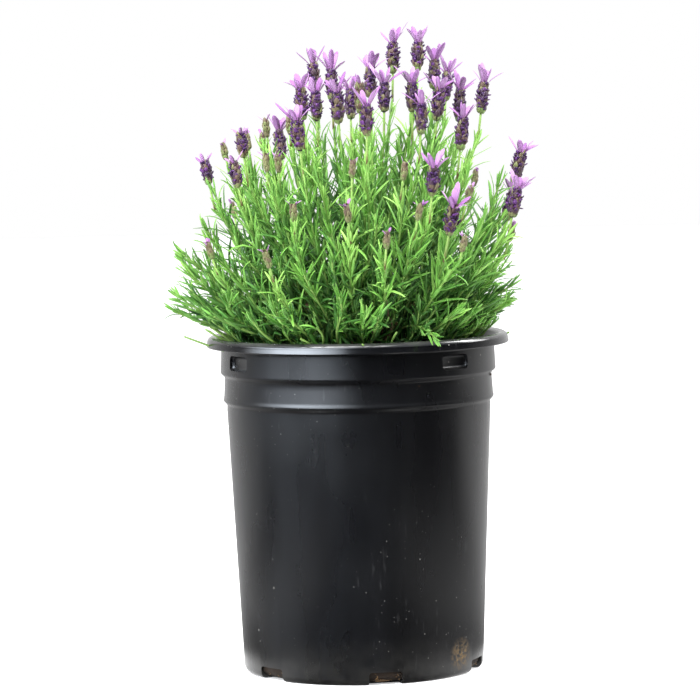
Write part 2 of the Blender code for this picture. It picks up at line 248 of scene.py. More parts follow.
world = bpy.data.worlds.new("white room")
scene.world = world
world.use_nodes = True
world.cycles.sampling_method = "NONE"
tree = world.node_tree
tree.nodes.clear()
x, y, z = axes(tree, add(tree, "ShaderNodeTexCoord").outputs["Generated"])
ray = add(tree, "ShaderNodeLightPath").outputs
lit = maths(tree, "MAXIMUM", window(tree, (y, -0.35, 0.45)), window(tree, (z, 0.25, 0.85)))
diffuse_level = spread(tree, lit, 0.0, 1.0, ROOM_DIM, ROOM_BRIGHT)
white = maths(tree, "MAXIMUM", window(tree, (y, 0.0, 0.75)), window(tree, (z, 0.75, 0.97)))
glossy_level = spread(tree, white, 0.0, 1.0, MIRROR_DARK, 1.0)
strip = window(tree, (z, 0.10, 0.20), (z, 0.45, 0.32), (x, -0.12, -0.62), (y, 0.15, -0.45))
panel = window(tree, (z, 0.22, 0.40), (z, 0.92, 0.70), (y, 0.15, -0.10))
left_part = window(tree, (x, 0.0, -0.22), (x, -0.85, -0.60))
panel = times(tree, panel, spread(tree, left_part, 0.0, 1.0, PANEL_DIM, PANEL_BRIGHT))
bright = maths(tree, "ADD", panel, times(tree, strip, STRIP_BRIGHT))
glossy_level = maths(tree, "ADD", glossy_level, bright)
seen = add(tree, "ShaderNodeMix", i0=ray["Is Glossy Ray"], i2=diffuse_level, i3=glossy_level).outputs[0]
seen = add(tree, "ShaderNodeMix", i0=ray["Is Camera Ray"], i2=seen, i3=1.0).outputs[0]
cooled = times(tree, ray["Is Glossy Ray"], spread(tree, y, 0.1, -0.1))
tint = blend_colours(tree, cooled, PLAIN, COOL)
background = add(tree, "ShaderNodeBackground", Color=tint, Strength=seen)
join(tree, background.outputs[0], add(tree, "ShaderNodeOutputWorld").inputs["Surface"])
print("room: strip", STRIP_BRIGHT, "and panel", PANEL_BRIGHT, "in reflections")

# %% [markdown]
# Five soft boxes light the plant: two large ones at the left and above, a smaller one at the
# right, and two small ones that edge the leaves and the rim. The left box is hidden from
# reflections, where it would wash out the pot; the strip and the panel stand in for it there.

# %% Soft boxes
def soft_box(name, azimuth, elevation, distance, size, power, tint=(1.0, 1.0, 1.0)):
    """A soft box that faces the plant. Azimuth 0 is the front and 90 the right side."""
    light = bpy.data.lights.new(name, "AREA")
    light.shape = "RECTANGLE"
    light.size, light.size_y = size
    light.energy = power
    light.color = tint
    lamp = bpy.data.objects.new(name, light)
    scene.collection.objects.link(lamp)
    turn, rise = math.radians(azimuth), math.radians(elevation)
    out = Vector((math.sin(turn) * math.cos(rise), -math.cos(turn) * math.cos(rise), math.sin(rise)))
    lamp.location = Vector((0.0, 0.0, 0.2)) + out * distance
    lamp.rotation_euler = (-out).to_track_quat("-Z", "Y").to_euler()
    return lamp


left_box = soft_box("soft_box_left", -50.0, 9.0, 1.6, (1.25, 0.95), 22.0, (0.90, 0.95, 1.0))
left_box.visible_glossy = False
soft_box("soft_box_right", 108.0, 34.0, 1.5, (0.6, 0.9), 21.0)
soft_box("soft_box_top", -8.0, 58.0, 1.7, (1.5, 0.8), 44.0)
soft_box("rim_light_left", -40.0, 50.0, 1.5, (0.45, 0.40), 12.0)
soft_box("rim_light_right", 112.0, 42.0, 1.5, (0.4, 0.4), 10.0)
print("five soft boxes")

# %% [markdown]
# ## Shared surface effects
# Two effects turn up on several pieces, so each is a shader node group. *Mottle* is a soft
# cloudy mask that breaks up an even colour or finish. *Specks* scatters small separate dots,
# as dust, grit and dried splashes do, by keeping only some cells of a Voronoi pattern.

# %% Mottle
mottle_group, source, mask = new_group("mottle", [
    ("Vector", VECTOR, None), ("Scale", FLOAT, 40.0), ("Detail", FLOAT, 4.0),
    ("Low", FLOAT, 0.4), ("High", FLOAT, 0.6)])
noise_inputs = {key: source[key] for key in ("Vector", "Scale", "Detail")}
clouds = add(mottle_group, "ShaderNodeTexNoise", **noise_inputs).outputs[0]
join(mottle_group, spread(mottle_group, clouds, source["Low"], source["High"]), mask)
print("group:", mottle_group.name)

# %% Specks
specks_group, source, mask = new_group("specks", [
    ("Vector", VECTOR, None), ("Scale", FLOAT, 300.0), ("Size", FLOAT, 0.2), ("Share", FLOAT, 0.3)])
cells = add(specks_group, "ShaderNodeTexVoronoi", Vector=source["Vector"], Scale=source["Scale"])
chance = add(specks_group, "ShaderNodeSeparateColor", i0=cells.outputs["Color"]).outputs
kept = maths(specks_group, "LESS_THAN", chance[0], source["Share"])
reach = times(specks_group, source["Size"], chance[1])
dot = spread(specks_group, cells.outputs["Distance"], reach, times(specks_group, reach, 0.6))
join(specks_group, times(specks_group, dot, kept), mask)
print("group:", specks_group.name)

# %% [markdown]
# ## Nursery pot
# The real pot is one thin moulding. Its wall could be a stack of cylinders, but one turned
# outline gives the rolled rim, both stepped bands, the taper and the foot in a single skin with
# true rounded corners, which is what catches the light. The lip rolls over at the top and leans
# in a little towards its foot, and the upper band leans in too. Drain notches and finger pockets
# are then cut, just as the mould would leave them.

# %% Pot sizes
POT_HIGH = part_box("nursery_pot")[1]
POT_TOP = POT_HIGH.z
RIM_RADIUS = POT_HIGH.x
WALL, FLOOR = 1.5 * MM, 1.8 * MM
# The rim as it is moulded, then how far its lip rolls over, how deep it hangs and how far it leans.
RIM_DEPTH, RIM_WIDTH, RIM_LIP = 7.2 * MM, 3.4 * MM, 1.2 * MM
RIM_ROLL, LIP_DEPTH, LIP_LEAN = 2.9 * MM, 5.6 * MM, 0.38 * MM
# The two bands, the tapered body and the foot. Each band ends in a small bead and a slope.
BAND_RADIUS, LOWER_BAND_RADIUS = 74.9 * MM, 73.6 * MM
BODY_RADIUS, BASE_RADIUS = 72.0 * MM, 65.7 * MM
BAND_FOOT, LOWER_BAND_FOOT, STEP_SLOPE = POT_TOP - 20.5 * MM, POT_TOP - 35.7 * MM, 2.5 * MM
BEAD, EASE, BAND_LEAN, FOOT_ROUND = 0.35 * MM, 0.1 * MM, 0.60 * MM, 3.5 * MM
NOTCH_ANGLES = [10.0 + 60.0 * step for step in range(6)]
NOTCH_WIDTH, NOTCH_HEIGHT, NOTCH_REACH = 18.0 * MM, 7.0 * MM, 9.0 * MM
POCKET_ANGLES = (-60.0, 44.0, 120.0, 224.0)
POCKET_WIDTH, POCKET_HEIGHT, POCKET_DEPTH, POCKET_DROP = 19.0 * MM, 8.0 * MM, 2.4 * MM, 1.5 * MM
print("pot:", round(2 * RIM_RADIUS / MM), "mm across,", round(POT_TOP / MM), "mm tall")


# %% Turned outlines
def softened(points, size):
    """Round each inner corner of an outline with a short curve, this far along its edges."""
    soft = [Vector(points[0])]
    for before, corner, after in zip(points, points[1:], points[2:]):
        before, corner, after = Vector(before), Vector(corner), Vector(after)
        reach_in = min(size, (before - corner).length * 0.45)
        reach_out = min(size, (after - corner).length * 0.45)
        start = corner + (before - corner).normalized() * reach_in
        end = corner + (after - corner).normalized() * reach_out
        for step in range(5):
            share = step / 4
            soft.append(start * (1 - share) ** 2 + corner * 2 * share * (1 - share) + end * share**2)
    return soft + [Vector(points[-1])]


def turned(name, outline, sides):
    """A mesh object turned about Z from (radius, height) points."""
    mesh = bpy.data.meshes.new(name)
    bm = bmesh.new()
    points = [bm.verts.new((x, 0.0, z)) for x, z in outline]
    for first, second in zip(points, points[1:]):
        bm.edges.new((first, second))
    bm.to_mesh(mesh)
    bm.free()
    obj = bpy.data.objects.new(name, mesh)
    scene.collection.objects.link(obj)
    screw = obj.modifiers.new("turn", "SCREW")
    screw.steps = screw.render_steps = sides
    screw.use_merge_vertices = True
    screw.merge_threshold = 0.000005
    return obj


def blocks(name, angles, size, radius, height):
    """Cutting blocks set round Z, at angles from the front."""
    bm = bmesh.new()
    for angle in angles:
        pose = Matrix.Rotation(math.radians(angle), 4, "Z") @ Matrix.Translation((0.0, -radius, height))
        bmesh.ops.create_cube(bm, size=1.0, matrix=pose @ Matrix.Diagonal((*size, 1.0)))
    mesh = bpy.data.meshes.new(name)
    bm.to_mesh(mesh)
    bm.free()
    obj = bpy.data.objects.new(name, mesh)
    scene.collection.objects.link(obj)
    return obj


def cut(obj, other, operation, rounding=0.0):
    """Join another object onto this one or cut it out, then drop the other."""
    if rounding:
        bevel = other.modifiers.new("round", "BEVEL")
        bevel.width, bevel.segments = rounding, 4
    boolean = obj.modifiers.new(operation, "BOOLEAN")
    boolean.operation, boolean.object = operation, other
    settle(obj)
    bpy.data.objects.remove(other)


def settle(obj):
    """Turn an object's modifiers into plain mesh."""
    graph = bpy.context.evaluated_depsgraph_get()
    mesh = bpy.data.meshes.new_from_object(obj.evaluated_get(graph))
    obj.modifiers.clear()
    obj.data = mesh


def smooth(obj, angle=32.0):
    """Shade smoothly, and keep the edges sharper than an angle."""
    for face in obj.data.polygons:
        face.use_smooth = True
    obj.data.set_sharp_from_angle(angle=math.radians(angle))


print("shaping helpers ready")


# %% Pot shape
def pot_outline():
    """The pot's whole skin, from the middle of its floor round to the middle of its underside."""
    rim_foot = POT_TOP - LIP_DEPTH
    steps = []
    bands = (
        (BAND_RADIUS, LOWER_BAND_RADIUS, BAND_FOOT, BAND_LEAN),
        (LOWER_BAND_RADIUS, BODY_RADIUS, LOWER_BAND_FOOT, 0.0),
    )
    for upper, lower, foot, lean_in in bands:
        steps += [(upper - EASE, foot + 3.0 * MM), (upper + BEAD, foot + 0.6 * MM)]
        steps.append((lower - EASE - lean_in, foot - STEP_SLOPE + 1.0 * MM))
        steps.append((lower - lean_in, foot - STEP_SLOPE - 2.0 * MM))
    inside = [(0.0, FLOOR), (BASE_RADIUS - WALL - 2 * MM, FLOOR), (BASE_RADIUS - WALL, FLOOR + 2 * MM)]
    inside += [(x - WALL, z) for x, z in steps[::-1]]
    inside += [(BAND_RADIUS - WALL, rim_foot), (BAND_RADIUS + 0.4 * MM, POT_TOP - RIM_LIP)]
    inside.append((RIM_RADIUS - RIM_WIDTH, POT_TOP))
    roll = []
    for angle in (math.radians(9.0 * step) for step in range(1, 11)):
        inward = (RIM_WIDTH - LIP_LEAN) * (1 - math.sin(angle))
        roll.append((RIM_RADIUS - LIP_LEAN - inward, POT_TOP - RIM_ROLL * (1 - math.cos(angle))))
    for share in (0.12, 0.88, 1.0):
        drop = RIM_ROLL + (LIP_DEPTH - RIM_ROLL - 0.4 * MM) * share
        roll.append((RIM_RADIUS - LIP_LEAN * (1 - share), POT_TOP - drop))
    roll.append((RIM_RADIUS - 0.3 * MM, rim_foot + 0.1 * MM))
    under = [
        (RIM_RADIUS - RIM_LIP, rim_foot),
        (RIM_RADIUS - RIM_LIP - WALL / 2, rim_foot + RIM_LIP),
        (BAND_RADIUS + WALL, rim_foot + RIM_LIP),
        (BAND_RADIUS - 0.6 * BAND_LEAN, rim_foot - RIM_LIP),
    ]
    foot = []
    for angle in (math.radians(15.0 * step) for step in range(7)):
        inward = FOOT_ROUND * (1 - math.cos(angle))
        foot.append((BASE_RADIUS - inward, FOOT_ROUND * (1 - math.sin(angle))))
    underside = [(52 * MM, 0.0), (51 * MM, 0.7 * MM), (14 * MM, 0.7 * MM), (13 * MM, 0.0), (4 * MM, 0.0),
                 (3.4 * MM, 0.5 * MM), (0.0, 0.5 * MM)]
    wall = softened(steps, 0.8 * MM)[1:]
    return softened(inside, 0.7 * MM) + roll + softened(under, 0.25 * MM) + wall + foot + underside


pot = turned("black_nursery_pot", pot_outline(), 240)
settle(pot)
pocket_middle = POT_TOP - RIM_DEPTH - POCKET_DROP - POCKET_HEIGHT / 2
pocket_floor = BAND_RADIUS * math.cos(POCKET_WIDTH / 2 / BAND_RADIUS) - POCKET_DEPTH
boss = (POCKET_WIDTH + 2 * WALL, POCKET_DEPTH + WALL / 2, POCKET_HEIGHT + 1.6 * WALL)
cut(pot, blocks("bosses", POCKET_ANGLES, boss, pocket_floor - WALL + boss[1] / 2, pocket_middle), "UNION")
pocket = (POCKET_WIDTH, POCKET_DEPTH * 3, POCKET_HEIGHT)
pockets = blocks("pockets", POCKET_ANGLES, pocket, pocket_floor + pocket[1] / 2, pocket_middle)
cut(pot, pockets, "DIFFERENCE", 2.2 * MM)
notch = (NOTCH_WIDTH, NOTCH_REACH * 2, NOTCH_HEIGHT * 2)
cut(pot, blocks("notches", NOTCH_ANGLES, notch, BASE_RADIUS, 0.0), "DIFFERENCE", 1.6 * MM)
smooth(pot)
print("pot skin:", len(pot.data.polygons), "faces")

# %% [markdown]
# Black nursery plastic is never plain black. It has a faint cool sheen that wanders with the
# moulding's flow lines, a bloom of pale dust on the upward faces, which is also a painted sheen
# along the rim's top, small light specks of grit and dried water, and a brown soil mark near the
# foot. The lip is worn a little smoother by hands. All of it is mixed from the two shared
# masks at different sizes, because a painted picture would tie the finish to one layout.

# %% Black satin plastic
STAIN_PLACE, STAIN_REACH = (0.053, -0.041, 0.012), 10 * MM
SHEEN_SMOOTH, SHEEN_ROUGH, LIP_WEAR = 0.20, 0.34, 0.45
BLACKS = ((0.0012, 0.0012, 0.0015), (0.003, 0.0031, 0.004))
material, tree, shader = new_material("black satin plastic")
spot = add(tree, "ShaderNodeTexCoord").outputs["Object"]
x, y, z = axes(tree, spot)


def cloudy(place, scale, detail, low, high):
    """The mottle mask on the pot, at a size and with its own ends."""
    return use_group(tree, mottle_group, Vector=place, Scale=scale, Detail=detail, Low=low, High=high)


def stretched(height):
    """The place on the pot with its height scaled, which draws marks out along the wall."""
    return add(tree, "ShaderNodeMapping", Vector=spot, Scale=(1.0, 1.0, height)).outputs[0]


drawn = stretched(0.16)
flow = cloudy(drawn, 55.0, 5.0, 0.15, 0.85)
cloud = cloudy(spot, 14.0, 5.0, 0.42, 0.75)
grit = use_group(tree, specks_group, Vector=stretched(0.6), Scale=230.0, Size=0.11, Share=0.18)
fine_grit = use_group(tree, specks_group, Vector=spot, Scale=620.0, Size=0.26, Share=0.13)
specks = maths(tree, "MAXIMUM", grit, times(tree, fine_grit, cloud))
facing = axes(tree, add(tree, "ShaderNodeNewGeometry").outputs["Normal"])[2]
# Pale dust on the upward faces, strong enough that on the rim's top it is also a painted sheen.
upward_dust_and_sheen = spread(tree, facing, 0.15, 0.8, 0.0, 0.75)
scuff = times(tree, cloudy(drawn, 420.0, 2.0, 0.66, 0.74), cloud)
dust_and_sheen = maths(tree, "ADD", times(tree, cloud, 0.02), times(tree, upward_dust_and_sheen, flow))
foot_dust = times(tree, spread(tree, z, 0.026, 0.0), cloudy(spot, 160.0, 6.0, 0.2, 0.75))
from_stain = measure(tree, "DISTANCE", spot, STAIN_PLACE)
near_stain = spread(tree, from_stain, STAIN_REACH, 2 * MM)
soil_mark = times(tree, near_stain, cloudy(spot, 520.0, 6.0, 0.40, 0.66))
base = blend_colours(tree, flow, *BLACKS)
for mask, strength, colour in (
    # Dust, and the painted sheen on the rim's top.
    (dust_and_sheen, 1.0, (0.10, 0.10, 0.10)),
    (scuff, 0.35, (0.07, 0.07, 0.072)),
    (foot_dust, 0.20, (0.075, 0.070, 0.060)),
    (soil_mark, 0.6, (0.22, 0.13, 0.035)),
    (specks, 0.55, (0.42, 0.41, 0.38)),
):
    base = blend_colours(tree, times(tree, mask, strength), base, colour)
join(tree, base, shader.inputs["Base Color"])
outward = measure(tree, "LENGTH", add(tree, "ShaderNodeCombineXYZ", X=x, Y=y).outputs[0])
past_wall = spread(tree, outward, BAND_RADIUS + 1.5 * MM, BAND_RADIUS + 2.5 * MM)
worn = times(tree, past_wall, spread(tree, z, POT_TOP - 6.5 * MM, POT_TOP - 6.0 * MM))
smoother = maths(tree, "SUBTRACT", 1.0, times(tree, worn, LIP_WEAR))
rough = times(tree, spread(tree, flow, 0.0, 1.0, SHEEN_SMOOTH, SHEEN_ROUGH), smoother)
rough = maths(tree, "ADD", rough, times(tree, maths(tree, "MAXIMUM", soil_mark, specks), 0.4), True)
rough = maths(tree, "ADD", rough, times(tree, cloud, 0.08))
join(tree, rough, shader.inputs["Roughness"])
peel = add(tree, "ShaderNodeTexNoise", Vector=spot, Scale=900.0, Detail=2.0).outputs[0]
peel = maths(tree, "ADD", times(tree, peel, 0.25), times(tree, specks, 0.8))
relief = add(tree, "ShaderNodeBump", Strength=0.10, Distance=0.0004, Height=peel)
join(tree, relief.outputs[0], shader.inputs["Normal"])
pot.data.materials.clear()
pot.data.materials.append(material)
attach(pot, "root")
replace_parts(pot, "nursery_pot")
print("finish:", material.name)

# %% [markdown]
# ## Building many small solids at once
# A lavender has thousands of leaves. Each could be a separate object, but one mesh per shoot is
# far lighter. A *pile* collects closed blades and stems as plain number arrays and writes them
# out as one mesh. Every solid keeps three growth values on its points (its tone, how far along
# it the point is, and how far to its underside) for the finishes to read, and gets a cell of
# its own on the texture sheet.

# %% Pile
class Pile:
    """Closed solids that are written out as one mesh."""

    def __init__(self):
        self.batches = []

    def take(self, corners, faces, sheet, growth, finish):
        """Corners and growth are (solids, points, 3). Faces and sheet describe one solid."""
        self.batches.append((corners, faces, sheet, growth, finish))

    def build(self, name, finishes, body_slot):
        """Write the mesh, place it on the root body and give it its finishes."""
        across = math.ceil(math.sqrt(sum(len(batch[0]) for batch in self.batches)))
        points, loops, starts, sheets, growths, slots = [], [], [], [], [], []
        first_point, first_loop, first_cell = 0, 0, 0
        for corners, faces, sheet, growth, finish in self.batches:
            solids, per = corners.shape[:2]
            flat = np.concatenate(faces)
            begin = np.cumsum([0] + [len(face) for face in faces[:-1]])
            number = np.arange(solids)
            loops.append((flat + (first_point + per * number)[:, None]).ravel())
            starts.append((begin + (first_loop + len(flat) * number)[:, None]).ravel())
            cell = first_cell + number
            corner = np.stack([cell % across, cell // across], -1)[:, None]
            sheets.append(((corner + 0.08 + 0.84 * sheet) / across).reshape(-1, 2))
            points.append(corners.reshape(-1, 3))
            growths.append(growth.reshape(-1, 3))
            slots.append(np.full(solids * len(faces), finish))
            first_point += solids * per
            first_loop += solids * len(flat)
            first_cell += solids
        mesh = bpy.data.meshes.new(name)
        mesh.vertices.add(first_point)
        mesh.vertices.foreach_set("co", np.concatenate(points).astype(np.float32).ravel())
        mesh.loops.add(first_loop)
        mesh.loops.foreach_set("vertex_index", np.concatenate(loops).astype(np.int32))
        begin = np.concatenate(starts).astype(np.int32)
        mesh.polygons.add(len(begin))
        mesh.polygons.foreach_set("loop_start", begin)
        mesh.polygons.foreach_set("material_index", np.concatenate(slots).astype(np.int32))
        mesh.polygons.foreach_set("use_smooth", np.ones(len(begin), bool))
        layer = mesh.uv_layers.new(name="OFBake")
        layer.data.foreach_set("uv", np.concatenate(sheets).astype(np.float32).ravel())
        values = mesh.attributes.new("growth", "FLOAT_VECTOR", "POINT")
        values.data.foreach_set("vector", np.concatenate(growths).astype(np.float32).ravel())
        mesh.update(calc_edges=True)
        obj = bpy.data.objects.new(name, mesh)
        scene.collection.objects.link(obj)
        for finish in finishes:
            mesh.materials.append(finish)
        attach(obj, "root")
        return obj


def ringed(stations, sides):
    """Faces and sheet places of a solid made of rings, closed to a point at its far end."""
    faces, sheet = [], []
    for ring in range(stations - 1):
        for side in range(sides):
            a, b = ring * sides + side, ring * sides + (side + 1) % sides
            faces.append((a, b, b + sides, a + sides))
            low, high = ring / stations, (ring + 1) / stations
            left, right = side / sides, (side + 1) / sides
            sheet += [(low, left), (low, right), (high, right), (high, left)]
    last, low = (stations - 1) * sides, (stations - 1) / stations
    for side in range(sides):
        faces.append((last + side, last + (side + 1) % sides, stations * sides))
        sheet += [(low, side / sides), (low, (side + 1) / sides), (1.0, (side + 0.5) / sides)]
    faces += [(0, sides - 1, sides - 2, sides - 3), (0, sides - 3, 2, 1)]
    sheet += [(0.0, 0.0), (0.0, 0.05), (0.05, 0.05), (0.05, 0.0)] * 2
    return faces, np.array(sheet)


def unit(vectors):
    """Vectors at a length of one."""
    return vectors / np.maximum(np.linalg.norm(vectors, axis=-1, keepdims=True), 1e-9)


print("pile ready")

# %% [markdown]
# A blade is a narrow leaf-like solid. Its cross-section has a groove along the top and edges
# that roll under, as lavender leaves do to save water. A flat plane would be lighter, but the
# rolled edge is what catches the light and gives each leaf its pale rim.

# %% Blades
SECTION = np.array([
    (-1.0, -0.30), (-0.55, 0.10), (0.0, -0.08), (0.55, 0.10), (1.0, -0.30), (0.0, -0.42)])
UNDER = np.array([0.5, 0.0, 0.1, 0.0, 0.5, 1.0])
STATIONS = np.array([0.0, 0.16, 0.45, 0.75, 0.93])
LEAF_SHAPE = np.array([0.45, 0.85, 1.0, 0.84, 0.46])
BLADE_FACES, BLADE_SHEET = ringed(len(STATIONS), len(SECTION))


def blades(pile, base, along, up, length, width, bend, tone, shape=LEAF_SHAPE, finish=0, deep=1.0):
    """Add blades that start at base and point along. A positive bend curls them back from up."""
    along = unit(along)
    up = unit(up - along * np.sum(up * along, -1, keepdims=True))
    side = np.cross(along, up)
    safe = np.where(np.abs(bend) < 1e-3, 1e-3, bend)[:, None]
    turn = safe * np.append(STATIONS, 1.0)
    reach, drop = np.sin(turn) / safe, (1.0 - np.cos(turn)) / safe
    curl = reach[..., None] * along[:, None] - drop[..., None] * up[:, None]
    spine = base[:, None] + length[:, None, None] * curl
    local_up = up[:, None] * np.cos(turn)[..., None] + along[:, None] * np.sin(turn)[..., None]
    half = (0.5 * width[:, None] * shape)[..., None, None]
    rings = spine[:, :-1, None] + half * (
        SECTION[:, 0, None] * side[:, None, None] + deep * SECTION[:, 1, None] * local_up[:, :-1, None])
    corners = np.concatenate([rings.reshape(len(base), -1, 3), spine[:, -1:]], 1)
    growth = np.empty(corners.shape)
    growth[..., 0] = tone[:, None]
    growth[..., 1] = np.append(np.repeat(STATIONS, len(SECTION)), 1.0)
    growth[..., 2] = np.append(np.tile(UNDER, len(STATIONS)), 0.3)
    pile.take(corners, BLADE_FACES, BLADE_SHEET, growth, finish)


print("one blade:", len(BLADE_FACES), "faces")

# %% [markdown]
# A stem is a row of rings along a path, closed by a point. A curve with a round bevel would look
# the same, but here every stem of a shoot joins the same mesh as its leaves.

# %% Stems
def stems(pile, paths, radii, tone, finish=0, sides=6):
    """Add round stems along paths (stems, points, 3), with a radius at each point."""
    count, points = paths.shape[:2]
    tangent = unit(np.gradient(paths, axis=1))
    lead = unit(np.cross(tangent.mean(1), (0.31, 0.95, 0.07)))[:, None]
    second = unit(np.cross(tangent, lead))
    first = np.cross(second, tangent)
    angle = np.arange(sides) / sides * 2 * np.pi
    ring = np.cos(angle)[:, None] * first[:, :, None] + np.sin(angle)[:, None] * second[:, :, None]
    rings = paths[:, :, None] + radii[..., None, None] * ring
    tips = paths[:, -1:] + tangent[:, -1:] * radii[:, -1:, None] * 0.7
    corners = np.concatenate([rings.reshape(count, -1, 3), tips], 1)
    growth = np.empty(corners.shape)
    growth[..., 0] = tone[:, None]
    growth[..., 1] = np.append(np.repeat(np.linspace(0.0, 1.0, points), sides), 1.0)
    growth[..., 2] = 0.5
    faces, sheet = ringed(points, sides)
    pile.take(corners, faces, sheet, growth, finish)


print("a stem of 14 rings:", len(ringed(14, 6)[0]), "faces")

# %% [markdown]
# ## Plant finishes
# Lavender leaves are grey-green felt over a fresh green blade. Young tips are yellow-green,
# leaves deep in the clump are darker with painted shade, and the underside is paler. All of
# that hangs on the growth values, so one finish serves every leaf and no two leaves look alike.

# %% Growth finish
def growth_finish(
        name, stops, under, under_share, foot=None, tip=None, vein=0.0, rough=(0.45, 0.6), sheen=0.0):
    """A plant finish: coloured by tone, paler beneath, tinted at foot and tip, finely mottled."""
    material, tree, shader = new_material(name)
    grown = add(tree, "ShaderNodeAttribute", {"attribute_name": "growth"}).outputs["Vector"]
    tone, along, below = axes(tree, grown)
    spot = add(tree, "ShaderNodeTexCoord").outputs["Object"]
    patch = use_group(tree, mottle_group, Vector=spot, Scale=260.0, Detail=3.0, Low=0.3, High=0.7)
    felt = add(tree, "ShaderNodeTexNoise", Vector=spot, Scale=2600.0, Detail=2.0).outputs[0]
    shifted = maths(tree, "ADD", tone, spread(tree, patch, 0.0, 1.0, -0.10, 0.10))
    colour = ramp(tree, shifted, stops)
    if foot:
        start, end, share, tint = foot
        colour = blend_colours(tree, spread(tree, along, start, end, share, 0.0), colour, tint)
    if tip:
        start, end, share, tint = tip
        colour = blend_colours(tree, spread(tree, along, start, end, 0.0, share), colour, tint)
    colour = blend_colours(tree, spread(tree, below, 0.35, 1.0, 0.0, under_share), colour, under)
    if vein:
        colour = blend_colours(tree, spread(tree, felt, 0.45, 0.62, 0.0, vein), colour, under)
    join(tree, colour, shader.inputs["Base Color"])
    join(tree, spread(tree, patch, 0.0, 1.0, *rough), shader.inputs["Roughness"])
    shader.inputs["Sheen Weight"].default_value = sheen
    shader.inputs["Specular IOR Level"].default_value = 0.35
    relief = add(tree, "ShaderNodeBump", Strength=0.25, Distance=0.0002, Height=felt)
    join(tree, relief.outputs[0], shader.inputs["Normal"])
    return material


# The dark end of this ramp is painted shade for leaves deep in the clump, kept a saturated green as light
# through the leaves would make it.
leaf_finish = growth_finish(
    "lavender leaf",
    [(0.0, (0.006, 0.046, 0.006)), (0.35, (0.044, 0.160, 0.018)),
     (0.7, (0.15, 0.375, 0.050)), (1.0, (0.32, 0.59, 0.125))],
    under=(0.18, 0.34, 0.11), under_share=0.35, foot=(0.0, 0.25, 0.35, (0.22, 0.42, 0.09)),
    tip=(0.8, 1.0, 0.25, (0.40, 0.50, 0.16)), vein=0.15, rough=(0.45, 0.62))
stem_finish = growth_finish(
    "lavender stem",
    [(0.0, (0.08, 0.14, 0.03)), (0.5, (0.15, 0.28, 0.05)), (1.0, (0.27, 0.43, 0.11))],
    under=(0.3, 0.4, 0.18), under_share=0.1, foot=(0.12, 0.55, 1.0, (0.13, 0.075, 0.035)), vein=0.15)
calyx_finish = growth_finish(
    "calyx scale",
    [(0.0, (0.15, 0.26, 0.06)), (0.25, (0.19, 0.19, 0.08)), (0.5, (0.10, 0.055, 0.045)),
     (0.75, (0.040, 0.014, 0.032)), (1.0, (0.030, 0.008, 0.050))],
    under=(0.10, 0.07, 0.05), under_share=0.3, foot=(0.0, 0.35, 0.3, (0.17, 0.19, 0.08)),
    vein=0.25, sheen=0.05)
floret_finish = growth_finish(
    "dark violet floret",
    [(0.0, (0.014, 0.004, 0.020)), (0.6, (0.048, 0.012, 0.070)), (1.0, (0.14, 0.040, 0.19))],
    under=(0.05, 0.02, 0.09), under_share=0.3, tip=(0.6, 1.0, 0.35, (0.10, 0.03, 0.19)),
    rough=(0.35, 0.55))
bract_finish = growth_finish(
    "lilac bract",
    [(0.0, (0.18, 0.050, 0.22)), (0.5, (0.30, 0.125, 0.345)), (1.0, (0.42, 0.23, 0.46))],
    under=(0.40, 0.24, 0.45), under_share=0.3, foot=(0.05, 0.55, 0.85, (0.19, 0.026, 0.20)),
    vein=0.15, rough=(0.5, 0.65), sheen=0.1)
FINISHES = [leaf_finish, stem_finish, calyx_finish, floret_finish, bract_finish]
LEAF, STEM, CALYX, FLORET, BRACT = range(5)
print("finishes:", ", ".join(finish.name for finish in FINISHES))

# %% [markdown]
# ## Potting mix and roots
# The pot is filled with damp peat and bark, with a few white grains. From above it shows between
# the stems, and from outside through the drain notches, where fine roots have found their way
# out. The body is one turned solid with an uneven top, and the chips lie on it as solids.

# %% Potting mix
MIX_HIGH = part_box("potting_mix")[1]
MIX_SWELL = 1.5 * MM
MIX_EDGE = MIX_HIGH.z - MIX_SWELL
CHIPS, GRAINS, ROOTS = 900, 110, 40


def mix_outline():
    """The mix fills the pot with a hair of room, and its top swells slightly."""
    room = WALL + 0.3 * MM
    low = FLOOR + 0.3 * MM
    inside = [(0.0, low), (BASE_RADIUS - room - 2 * MM, low), (BASE_RADIUS - room, low + 2 * MM)]
    inside.append((BODY_RADIUS - room, LOWER_BAND_FOOT - STEP_SLOPE))
    inside += [(LOWER_BAND_RADIUS - room, height) for height in (LOWER_BAND_FOOT, MIX_EDGE)]
    shares = np.linspace(1.0, 0.0, 30)
    top = [(MIX_HIGH.x * share * 0.985, MIX_EDGE + MIX_SWELL * (1 - share**2)) for share in shares]
    top[-1] = (0.0, top[-1][1])
    return inside + top


def chips_on(rng, count, reach, size):
    """Places, directions and sizes for scattered bits lying on the mix."""
    turn, far = rng.uniform(0, 2 * np.pi, count), reach * np.sqrt(rng.random(count))
    height = MIX_EDGE + MIX_SWELL * (1 - (far / MIX_HIGH.x) ** 2)
    place = np.stack([far * np.cos(turn), far * np.sin(turn), height], -1)
    along = unit(np.stack([rng.normal(0, share, count) for share in (1, 1, 0.25)], -1))
    up = unit(np.stack([rng.normal(0, 0.35, count), rng.normal(0, 0.35, count), np.ones(count)], -1))
    length = rng.uniform(*size, count) * MM
    return place, along, up, length


